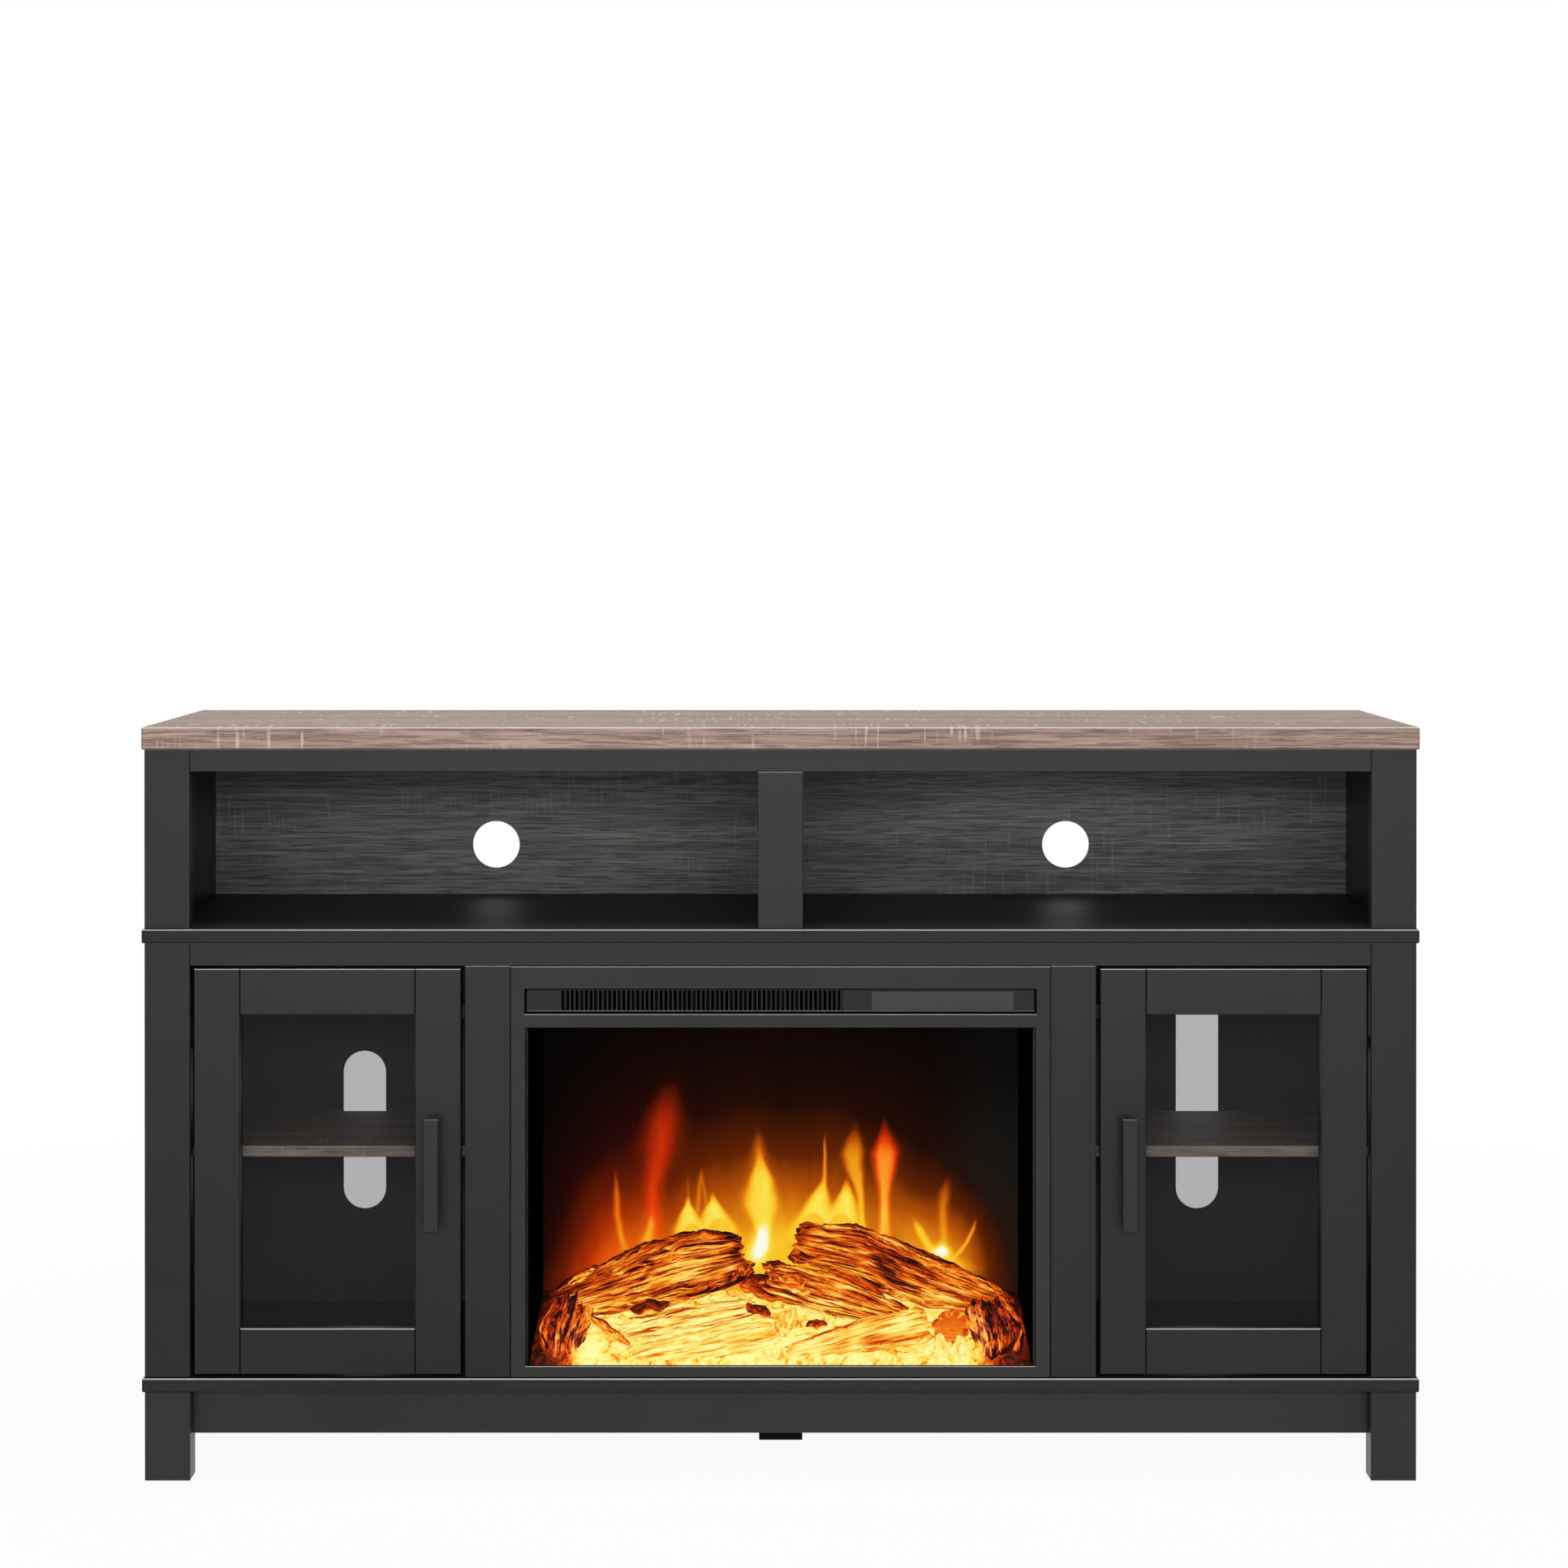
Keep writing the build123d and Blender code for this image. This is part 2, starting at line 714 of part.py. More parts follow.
def bezel_face(grow):
    """The bezel's outline, window and outlet, its walls thinned by a growth of the holes."""
    with Locations((0, middle(bezel_z))):
        Rectangle(2 * (bezel_half - grow), bezel_z[1] - bezel_z[0] - 2 * grow)
    with Locations((0, middle(window_z))):
        Rectangle(window_width + 2 * grow, window_height + 2 * grow, mode=Mode.SUBTRACT)
    with Locations((0, middle(vent_z))):
        Rectangle(vent_width + 2 * grow, vent_height + 2 * grow, mode=Mode.SUBTRACT)


with BuildPart() as bezel:
    with BuildSketch(upright(bezel_front)):
        bezel_face(0)
    extrude(amount=-bezel_depth)
    fillet(bezel.faces().sort_by(Axis.Y)[0].edges(), edge_round)
    with BuildSketch(upright(bezel_back)):
        bezel_face(sheet)
    extrude(amount=bezel_depth - sheet, mode=Mode.SUBTRACT)
write(bezel.part, "insert_bezel")

# Air outlet grille and control fascia: two plates behind the bezel with a shared flange line
fascia_front = bezel_front + fascia_recess
fascia_z = (vent_z[0] + fascia_bottom_gap, vent_z[1] - fascia_top_gap)
flange_z = (vent_z[0] - flange_rise, vent_z[1] + flange_rise)
louvre_left = -vent_half + louvre_start
louvre_right = louvre_left + louvre_length
flange_end = body_half - sheet - flange_clearance
louvre_count = int((louvre_length - louvre_land) / louvre_pitch)


def outlet_plate(x, flange_x):
    """A plate that fills part of the outlet, its front edges eased, with its flange behind the bezel."""
    with BuildPart() as plate:
        add(block(x, (fascia_front, bezel_back), fascia_z))
        fillet(plate.faces().sort_by(Axis.Y)[0].edges(), edge_round)
    flange = block(flange_x, (bezel_back, bezel_back + flange_thickness), flange_z)
    return fused(plate.part, flange)


with BuildPart() as vent_grille:
    add(outlet_plate((-vent_half + fascia_gap, louvre_right), (-flange_end, louvre_right)))
    with BuildSketch(upright(fascia_front)):
        with Locations(((louvre_left + louvre_right) / 2, middle(fascia_z))):
            with GridLocations(louvre_pitch, 1, louvre_count, 1):
                Rectangle(louvre_slot, fascia_z[1] - fascia_z[0] - 2 * louvre_land)
    extrude(amount=-(bezel_depth + flange_thickness), mode=Mode.SUBTRACT)
write(vent_grille.part, "vent_grille")

display_x = (louvre_right + display_start, louvre_right + display_start + display_width)
display_z = (fascia_z[0] + display_rise, fascia_z[0] + display_rise + display_height)
lens_front = fascia_front + display_recess
lens_back = lens_front + lens_thickness
with BuildPart() as control_fascia:
    add(outlet_plate((louvre_right, vent_half - fascia_gap), (louvre_right, flange_end)))
    add(block(display_x, (fascia_front, lens_back), display_z), mode=Mode.SUBTRACT)
    add(block((display_x[0] + lens_land, display_x[1] - lens_land),
              (lens_back, bezel_back + flange_thickness),
              (display_z[0] + lens_land, display_z[1] - lens_land)), mode=Mode.SUBTRACT)
write(control_fascia.part, "control_fascia")
write(block(display_x, (lens_front, lens_back), display_z), "display_lens")

# Firebox body: four sheet walls with flanges, and the floor of the blower space
body_z = (floor_top, floor_top + body_height)
body_rear = bezel_back + body_depth
inner_half = body_half - sheet
inner_z = (body_z[0] + sheet, body_z[1] - sheet)
hearth = floor_top + sheet
blower_z = (floor_top + blower_rise, floor_top + blower_rise + sheet)
glass_back = bezel_back + glass_thickness
cover_half = body_half - cover_margin
cover_z = (body_z[0] + cover_margin, body_z[1] - cover_margin)
screw_x = cover_half - cover_screw_inset
screw_places = [(x, z) for x in (-screw_x, 0, screw_x)
                for z in (cover_z[0] + cover_screw_inset, cover_z[1] - cover_screw_inset)]
screw_places += [(x, middle(cover_z)) for x in (-screw_x, screw_x)]


def frame_sheet(y, outer_half, outer_z, hole_half, hole_z, thickness):
    """A flat rectangular ring of sheet standing across the cabinet."""
    with BuildPart() as ring:
        with BuildSketch(upright(y)):
            with Locations((0, middle(outer_z))):
                Rectangle(2 * outer_half, outer_z[1] - outer_z[0])
            with Locations((0, middle(hole_z))):
                Rectangle(2 * hole_half, hole_z[1] - hole_z[0], mode=Mode.SUBTRACT)
        extrude(amount=-thickness)
    return ring.part


rear_inner_z = (body_z[0] + rear_flange, body_z[1] - rear_flange)
tube = frame_sheet(bezel_back, body_half, body_z, inner_half, inner_z, body_depth)
front_ring = frame_sheet(bezel_back, bezel_half - bezel_clearance, (body_z[0], bezel_z[1]),
                         inner_half, inner_z, sheet)
rear_ring = frame_sheet(body_rear - sheet, body_half, body_z, body_half - rear_flange, rear_inner_z, sheet)
blower_deck = block((-inner_half, inner_half), (glass_back, body_rear), blower_z)
glass_stops = [block(span(sign, inner_half - glass_stop, inner_half), (glass_back, glass_back + sheet),
                     (hearth, blower_z[0])) for _, sign in SIDES]
screw_holes = [round_bar((x, body_rear - sheet, z), (0, 1, 0), cover_screw_radius + screw_clearance, sheet)
               for x, z in screw_places]
write(cut(fused(tube, front_ring, rear_ring, blower_deck, *glass_stops), *screw_holes), "firebox_shell")

pane_half = inner_half - glass_clearance
write(block((-pane_half, pane_half), (bezel_back, glass_back), (hearth, blower_z[0] - glass_clearance)),
      "front_glass")

# Rear cover with intake slots and the gland for the mains lead, and the cover's screws
with BuildPart() as firebox_cover:
    with BuildSketch(upright(body_rear)):
        with Locations((0, middle(cover_z))):
            Rectangle(2 * cover_half, cover_z[1] - cover_z[0])
        with Locations((0, cover_z[1] - intake_drop)):
            with GridLocations(intake_pitch_x, intake_pitch_z, intake_columns, intake_rows):
                SlotOverall(intake_length, intake_width, mode=Mode.SUBTRACT)
        with Locations((gland_offset, floor_top + gland_rise)):
            Circle(gland_radius + gland_clearance, mode=Mode.SUBTRACT)
        with Locations(*screw_places):
            Circle(cover_screw_radius + screw_clearance, mode=Mode.SUBTRACT)
    extrude(amount=-cover_thickness)
write(firebox_cover.part, "firebox_cover")

cover_back = body_rear + cover_thickness
with BuildPart() as cord_gland:
    with BuildSketch(upright(body_rear - gland_flange)):
        with Locations((gland_offset, floor_top + gland_rise)):
            Circle(gland_flange_radius)
    extrude(amount=-gland_flange)
    with BuildSketch(upright(body_rear)):
        with Locations((gland_offset, floor_top + gland_rise)):
            Circle(gland_radius)
    extrude(amount=-cover_thickness)
    with BuildSketch(upright(cover_back)):
        with Locations((gland_offset, floor_top + gland_rise)):
            Circle(gland_flange_radius)
    extrude(amount=-gland_flange)
    with BuildSketch(upright(body_rear - gland_flange)):
        with Locations((gland_offset, floor_top + gland_rise)):
            Circle(gland_bore)
    extrude(amount=-(2 * gland_flange + cover_thickness), mode=Mode.SUBTRACT)
write(cord_gland.part, "cord_gland")
screws += [headed_screw((x, cover_back, z), cover_screw_radius, cover_screw_length,
                        screw_head_radius, screw_head_height) for x, z in screw_places]
write_group(screws, "screws")

# Angle brackets that hold the body to the bottom board
bracket_y = (middle((bezel_back, body_rear)) - bracket_length / 2,
             middle((bezel_back, body_rear)) + bracket_length / 2)
write_group([fused(block(span(sign, body_half, body_half + sheet), bracket_y,
                         (floor_top, floor_top + bracket_leg)),
                   block(span(sign, body_half, body_half + bracket_leg), bracket_y,
                         (floor_top, floor_top + sheet))) for _, sign in SIDES], "insert_brackets")

# Flame space: slanted side liners, the flame screen, the ember bed and the logs on it
screen_front = bezel_back + screen_setback
screen_half = screen_width / 2
liner_front = glass_back + sheet
chamber_z = (hearth, blower_z[0])
liner_near = inner_half - glass_stop
liners = []
for _, sign in SIDES:
    with BuildPart() as liner:
        with BuildSketch(Plane.XY.offset(hearth)):
            with BuildLine():
                Polyline((sign * liner_near, liner_front),
                         (sign * (liner_near + liner_thickness), liner_front),
                         (sign * (screen_half + liner_thickness), screen_front),
                         (sign * screen_half, screen_front), close=True)
            make_face()
        extrude(amount=chamber_z[1] - chamber_z[0])
    liners.append(liner.part)
write_group(liners, "side_liners")
write(block((-screen_half, screen_half), (screen_front, screen_front + screen_thickness), chamber_z),
      "flame_screen")

ember_front = liner_front + ember_gap
ember_back = screen_front - ember_gap
with BuildSketch() as bed_plan:
    with BuildLine():
        Polyline((-liner_near + ember_gap, ember_front), (liner_near - ember_gap, ember_front),
                 (screen_half - ember_gap, ember_back), (-screen_half + ember_gap, ember_back), close=True)
    make_face()
with BuildPart() as ember_bed:
    with BuildSketch(Plane.XY.offset(hearth)):
        add(bed_plan.sketch)
    extrude(amount=ember_back_height)
    with BuildSketch(Plane.YZ.offset(-inner_half)):
        with BuildLine():
            Polyline((ember_front, hearth + ember_front_height), (ember_back, hearth + ember_back_height),
                     (ember_front, hearth + ember_back_height), close=True)
        make_face()
    extrude(amount=2 * inner_half, mode=Mode.SUBTRACT)
write(ember_bed.part, "ember_bed")

# Each log: points of its axis as shares of the screen's half width, the bed's depth and the bed's height
# at the back, each with its thickness there as a share of the thickest log's
log_paths = [
    ((-0.93, 0.60, 0.92, 0.50), (-0.68, 0.63, 1.20, 0.84), (-0.42, 0.63, 1.50, 1.04),
     (-0.17, 0.63, 1.70, 0.76)),
    ((0.075, 0.69, 1.92, 0.66), (0.32, 0.69, 1.73, 0.82), (0.54, 0.69, 1.38, 0.82), (0.76, 0.67, 1.10, 0.60),
     (0.95, 0.64, 0.90, 0.34)),
    ((-0.05, 0.44, 1.42, 0.54), (0.18, 0.46, 1.16, 0.60), (0.50, 0.50, 0.74, 0.40)),
    ((-0.64, 0.34, 0.56, 0.36), (-0.40, 0.36, 0.74, 0.42), (-0.12, 0.40, 0.92, 0.30)),
    ((-0.62, 0.18, 0.14, 0.42), (-0.32, 0.21, 0.34, 0.56), (-0.02, 0.26, 0.58, 0.48)),
    ((0.03, 0.18, 0.22, 0.36), (0.30, 0.24, 0.46, 0.52), (0.60, 0.32, 0.68, 0.56)),
    ((0.73, 0.50, 0.60, 0.56), (0.70, 0.09, 0.72, 0.62)),
    ((0.91, 0.20, 0.05, 0.60), (0.90, 0.30, 0.45, 0.76), (0.86, 0.52, 0.96, 0.62)),
    ((-0.91, 0.20, 0.05, 0.58), (-0.90, 0.30, 0.45, 0.72), (-0.86, 0.52, 0.96, 0.56)),
]


def log_point(across, into, height):
    """A point of a log's axis in the cabinet's frame."""
    return Vector(across * screen_half, ember_front + into * (ember_back - ember_front),
                  hearth + height * ember_back_height)


with BuildPart() as log_set:
    for path in log_paths:
        stations = [log_point(*point[:3]) for point in path]
        along = stations[-1] - stations[0]
        for station, point in zip(stations, path):
            ending = station in (stations[0], stations[-1])
            with BuildSketch(Plane(origin=station, z_dir=along)):
                Circle(point[3] * log_radius * (log_taper if ending else 1))
        loft(ruled=True)
    with BuildSketch(Plane.XY.offset(hearth)):
        add(bed_plan.sketch)
    extrude(amount=chamber_z[1] - chamber_z[0], mode=Mode.INTERSECT)
    add(ember_bed.part, mode=Mode.SUBTRACT)
write(log_set.part, "log_set")

# Mirrored flame rotor behind the screen, its bearings, motor and the row of lights
rotor_y = bezel_back + rotor_setback
rotor_z = floor_top + rotor_rise
motor_face = bearing_right + bearing_thickness
with BuildPart() as flame_rotor:
    add(round_bar((bearing_left, rotor_y, rotor_z), (1, 0, 0), rotor_shaft_radius,
                  motor_face + motor_grip - shaft_clearance - bearing_left))
    vane_run = bearing_right - bearing_left - bearing_thickness
    for number in range(rotor_vanes):
        vane_x = bearing_left + bearing_thickness + (number + 0.5) * vane_run / rotor_vanes
        with BuildSketch(Plane.YZ.offset(vane_x - vane_length / 2)):
            with Locations(Location((rotor_y, rotor_z), number * vane_twist)):
                Rectangle(2 * vane_reach, vane_thickness)
        extrude(amount=vane_length)
write(flame_rotor.part, "flame_rotor")

bearings = []
for bearing_x in (bearing_left, bearing_right):
    with BuildPart() as bearing:
        with BuildSketch(Plane.YZ.offset(bearing_x)):
            with Locations((rotor_y, (hearth + rotor_z + bearing_rise) / 2)):
                Rectangle(bearing_width, rotor_z + bearing_rise - hearth)
            with Locations((rotor_y, rotor_z)):
                Circle(rotor_shaft_radius + shaft_clearance, mode=Mode.SUBTRACT)
        extrude(amount=bearing_thickness)
    bearings.append(bearing.part)
write_group(bearings, "rotor_bearings")
motor_can = round_bar((motor_face, rotor_y, rotor_z), (1, 0, 0), motor_radius, motor_thickness)
motor_bore = round_bar((motor_face, rotor_y, rotor_z), (1, 0, 0), rotor_shaft_radius + shaft_clearance,
                       motor_grip)
write(cut(motor_can, motor_bore), "rotor_motor")

led_y = bezel_back + led_setback
with BuildPart() as led_board:
    with BuildSketch(Plane.XY.offset(hearth)):
        with Locations((0, led_y)):
            Rectangle(led_length, led_width)
    extrude(amount=led_thickness)
    with BuildSketch(Plane.XY.offset(hearth + led_thickness)):
        with Locations((0, led_y)):
            with GridLocations(led_length / led_count, 1, led_count, 1):
                Rectangle(led_size, led_size)
    extrude(amount=led_height)
write(led_board.part, "led_board")

# Blower cassette: wheel space, duct to the grille and intake at the back, with a bearing in each end
deck = blower_z[1]
cassette_y = (bezel_back + cassette_setback, bezel_back + cassette_setback + cassette_depth)
cassette_x = (louvre_left, louvre_right)
cavity_x = (louvre_left + cassette_wall, louvre_right - cassette_wall)
wheel_y = bezel_back + wheel_setback
wheel_z = deck + wheel_rise
duct_z = (deck + duct_rise, deck + duct_rise + duct_height)
cassette = cut(
    block(cassette_x, cassette_y, (deck, deck + cassette_height)),
    round_bar((cavity_x[0], wheel_y, wheel_z), (1, 0, 0), wheel_radius + wheel_gap,
              cavity_x[1] - cavity_x[0]),
    block(cavity_x, (cassette_y[0], wheel_y), duct_z),
    block(cavity_x, (wheel_y, cassette_y[1]), (wheel_z, wheel_z + wheel_radius)),
    round_bar((cassette_x[0], wheel_y, wheel_z), (1, 0, 0), wheel_shaft_radius + shaft_clearance,
              louvre_length),
)
write(cassette, "blower_cassette")

wheel_x = (cavity_x[0] + wheel_end_gap, cavity_x[1] - wheel_end_gap)
with BuildPart() as blower_wheel:
    with BuildSketch(Plane.YZ.offset(wheel_x[0])):
        with Locations((wheel_y, wheel_z)):
            with PolarLocations(wheel_radius - blade_depth / 2, wheel_blades):
                Rectangle(blade_depth, blade_thickness, rotation=blade_angle)
    extrude(amount=wheel_x[1] - wheel_x[0])
    for disc_x in (wheel_x[0], wheel_x[1] - wheel_disc):
        add(round_bar((disc_x, wheel_y, wheel_z), (1, 0, 0), wheel_radius, wheel_disc))
    add(round_bar((cassette_x[0], wheel_y, wheel_z), (1, 0, 0), wheel_shaft_radius,
                  louvre_length + blower_motor_grip - shaft_clearance))
write(blower_wheel.part, "blower_wheel")

with BuildPart() as blower_motor:
    with BuildSketch(Plane.YZ.offset(louvre_right)):
        with Locations((wheel_y, wheel_z)):
            RectangleRounded(blower_motor_size, blower_motor_size, blower_motor_round)
            Circle(wheel_shaft_radius + shaft_clearance, mode=Mode.SUBTRACT)
    extrude(amount=blower_motor_length)
write(blower_motor.part, "blower_motor")

heater_x = (cavity_x[0] + heater_clearance, cavity_x[1] - heater_clearance)
heater_y = (cassette_y[0] + heater_setback, cassette_y[0] + heater_setback + heater_depth)
heater_z = (duct_z[0], duct_z[1] - heater_clearance)
heater_count = int((heater_x[1] - heater_x[0] - 2 * heater_frame) / heater_pitch)
with BuildPart() as heater:
    add(block(heater_x, heater_y, heater_z))
    with BuildSketch(upright(heater_y[0])):
        with Locations((middle(heater_x), middle(heater_z))):
            with GridLocations(heater_pitch, 1, heater_count, 1):
                Rectangle(heater_slot, heater_z[1] - heater_z[0] - 2 * heater_frame)
    extrude(amount=-heater_depth, mode=Mode.SUBTRACT)
write(heater.part, "heater")

# Control board: display module in front, relays behind
board_front = bezel_back + board_setback
circuit_x = (louvre_right + board_margin, flange_end - board_margin)
board_back = board_front + board_thickness
with BuildPart() as control_board:
    add(block(circuit_x, (board_front, board_back), (deck, deck + board_height)))
    add(block((display_x[0] + module_inset, display_x[1] - module_inset),
              (bezel_back + flange_thickness + module_gap, board_front),
              (display_z[0] + lens_land, display_z[1] - lens_land)))
    with BuildSketch(upright(board_back)):
        with Locations((middle(circuit_x), deck + relay_rise)):
            with GridLocations(relay_pitch, 1, relay_count, 1):
                Rectangle(relay_width, relay_height)
    extrude(amount=-relay_depth)
write(control_board.part, "control_board")
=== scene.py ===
"""Looks of an electric fireplace console: oak top, satin black cabinet, glazed doors and a lit log fire."""
import itertools
import math

import bmesh
import bpy
import numpy as np
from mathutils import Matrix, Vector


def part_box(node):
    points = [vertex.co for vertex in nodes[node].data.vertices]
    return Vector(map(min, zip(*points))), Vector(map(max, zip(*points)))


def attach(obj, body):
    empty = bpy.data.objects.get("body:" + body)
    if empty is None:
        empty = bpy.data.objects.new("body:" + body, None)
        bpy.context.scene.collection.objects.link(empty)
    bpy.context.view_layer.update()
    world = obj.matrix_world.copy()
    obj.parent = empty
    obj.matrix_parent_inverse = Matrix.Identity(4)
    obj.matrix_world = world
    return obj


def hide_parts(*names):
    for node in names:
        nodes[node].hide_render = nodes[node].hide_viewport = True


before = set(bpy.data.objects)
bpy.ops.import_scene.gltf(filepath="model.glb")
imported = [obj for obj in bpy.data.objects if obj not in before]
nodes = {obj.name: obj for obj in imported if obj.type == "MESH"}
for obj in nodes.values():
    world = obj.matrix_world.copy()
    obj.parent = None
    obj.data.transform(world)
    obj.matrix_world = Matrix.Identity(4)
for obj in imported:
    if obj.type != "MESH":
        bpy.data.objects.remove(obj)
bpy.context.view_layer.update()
scene = bpy.context.scene
scene.view_settings.view_transform = "Standard"

MM = 0.001
FULL_TURN = 2 * math.pi
WHITE = (1.0, 1.0, 1.0, 1.0)
BLACK = (0.0, 0.0, 0.0, 1.0)


def linear(red, green, blue):
    """A colour given as display values from 0 to 255, in the renderer's linear terms."""
    channels = [c / 255 for c in (red, green, blue)]
    return tuple(c / 12.92 if c <= 0.04045 else ((c + 0.055) / 1.055) ** 2.4 for c in channels) + (1.0,)


def grey(level):
    """A grey given as a display value from 0 to 255."""
    return linear(level, level, level)


def scaled(colour, factor):
    """A colour made darker or paler by a factor."""
    return tuple(min(1.0, factor * c) for c in colour[:3]) + (1.0,)


def smooth(value, low, high):
    """0 up to low, 1 from high on, and a smooth rise between."""
    t = np.clip((value - low) / (high - low), 0, 1)
    return t * t * (3 - 2 * t)


# Camera at the photograph's viewing place: metres, degrees, millimetres and shares of the picture
CAMERA_PLACE = (0.0049, -4.0255, 1.0028)
CAMERA_LEVEL = 90.0
CAMERA_PITCH = 0.2553
CAMERA_LENS = 82.535
CAMERA_SENSOR = 36.0
CAMERA_SHIFT = (-0.000686, -0.1424)

camera_data = bpy.data.cameras.new("camera")
camera_data.sensor_width = CAMERA_SENSOR
camera_data.lens = CAMERA_LENS
camera_data.shift_x, camera_data.shift_y = CAMERA_SHIFT
camera = bpy.data.objects.new("camera", camera_data)
camera.location = CAMERA_PLACE
camera.rotation_euler = (math.radians(CAMERA_LEVEL - CAMERA_PITCH), 0, 0)
scene.collection.objects.link(camera)
scene.camera = camera


class Net:
    """Short calls for the nodes of one node tree."""

    def __init__(self, tree):
        self.tree = tree

    def feed(self, socket, value):
        """Gives a socket a number, a colour or another node's output."""
        if isinstance(value, bpy.types.NodeSocket):
            self.tree.links.new(value, socket)
        else:
            socket.default_value = value

    def add(self, kind, inputs=None, **settings):
        """A new node with its settings and inputs."""
        node = self.tree.nodes.new("ShaderNode" + kind)
        for key, value in settings.items():
            setattr(node, key, value)
        for key, value in (inputs or {}).items():
            self.feed(node.inputs[key], value)
        return node

    def reckon(self, operation, *values):
        """The result of an operation on numbers or nodes' outputs."""
        return self.add("Math", dict(enumerate(values)), operation=operation).outputs[0]


class Paint(Net):
    """A material on one Principled shader, with short calls for the nodes that feed it."""

    # Sockets of a Mix node that mixes colours: factor, first colour and second colour, and its result
    MIX_INPUTS, MIX_RESULT = (0, 6, 7), 2

    def __init__(self, name, roughness, specular=0.5, metallic=0.0):
        self.material = bpy.data.materials.new(name)
        self.material.use_nodes = True
        super().__init__(self.material.node_tree)
        self.shader = self.tree.nodes["Principled BSDF"]
        self.set(**{"Roughness": roughness, "Specular IOR Level": specular, "Metallic": metallic})
        self.place = self.add("TexCoord").outputs["Object"]

    def set(self, **inputs):
        """Inputs of the shader."""
        for key, value in inputs.items():
            self.feed(self.shader.inputs[key], value)

    def show(self, node):
        """Makes another shader node the material's surface."""
        self.feed(self.tree.nodes["Material Output"].inputs["Surface"], node.outputs[0])

    def noise(self, stretch, detail=4.0, rough=0.55, shift=(0, 0, 0)):
        """Noise with so many features per metre along x, y and z."""
        mapped = self.add("Mapping", {"Vector": self.place, "Scale": stretch, "Location": shift})
        return self.add("TexNoise", {"Vector": mapped.outputs["Vector"], "Scale": 1.0, "Detail": detail,
                                     "Roughness": rough}).outputs["Fac"]

    def named(self, key, output="Fac"):
        """A value stored at the mesh's points."""
        return self.add("Attribute", attribute_name=key).outputs[output]

    def band(self, value, low, high, start=0.0, end=1.0):
        """A value moved from one range to another, held at its ends."""
        return self.add("MapRange", {"Value": value, "From Min": low, "From Max": high,
                                     "To Min": start, "To Max": end}).outputs["Result"]

    def times(self, first, second):
        return self.reckon("MULTIPLY", first, second)

    def plus(self, first, second):
        return self.reckon("ADD", first, second)

    def mix(self, factor, first, second, blend="MIX"):
        """Two colours mixed by a factor."""
        inputs = dict(zip(self.MIX_INPUTS, (factor, first, second)))
        return self.add("Mix", inputs, data_type="RGBA", blend_type=blend).outputs[self.MIX_RESULT]

    def colours(self, value, stops):
        """A colour ramp through (place, colour) stops. A new ramp has two stops already."""
        node = self.add("ValToRGB", {"Fac": value})
        elements = node.color_ramp.elements
        for index, (place, colour) in enumerate(stops):
            element = elements[index] if index < 2 else elements.new(place)
            element.position = place
            element.color = colour
        return node.outputs["Color"]

    def bump(self, height, distance, strength):
        """Relief of so many metres from a height between 0 and 1."""
        node = self.add("Bump", {"Height": height, "Distance": distance, "Strength": strength})
        self.set(Normal=node.outputs["Normal"])


# Largest part of the normal of an eased edge and of a flat face, and upward parts of shaded and lit ones
EASED_NORMAL, FLAT_NORMAL = 0.86, 0.97
SHADED_NORMAL, LIT_NORMAL = 0.15, 0.45


def edge_highlight_and_shade(paint, colour, highlight_tone, shade_tone, facing=1.0):
    """A colour with a painted highlight on eased edges that face up, and painted shade on the other eased
    edges.

    With facing -1 the pale edges are those that face down.
    """
    normal = paint.add("SeparateXYZ", {0: paint.add("NewGeometry").outputs["Normal"]}).outputs
    across, into, up = [paint.reckon("ABSOLUTE", normal[axis]) for axis in "XYZ"]
    largest = paint.reckon("MAXIMUM", paint.reckon("MAXIMUM", across, into), up)
    eased = paint.band(largest, EASED_NORMAL, FLAT_NORMAL, 1.0, 0.0)
    lit = paint.band(paint.times(normal["Z"], facing), SHADED_NORMAL, LIT_NORMAL)
    return paint.mix(eased, colour, paint.mix(lit, shade_tone, highlight_tone))


# Depths behind a front plane, in metres, over which painted shade darkens a recess, and how dark it gets
RECESS_START, RECESS_END = 0.0005, 0.0014
RECESS_SHARE = 0.97


def recess_shade(paint, colour, front):
    """Painted shade: a colour that turns black a little behind a front plane, as in slots, gaps and folds."""
    depth = paint.plus(paint.add("SeparateXYZ", {0: paint.place}).outputs["Y"], -front)
    share = paint.band(depth, RECESS_START, RECESS_END, 0.0, RECESS_SHARE)
    return paint.mix(share, colour, BLACK)


# The range that most of a noise lies in
MIDDLE_RANGE = (0.3, 0.7)
WOOD_BROAD_SHARE = 0.35
PORE_DEPTH, STROKE_DEPTH = 0.7, 0.5
WOOD_GLOSSIER, WOOD_DULLER = 0.06, 0.08


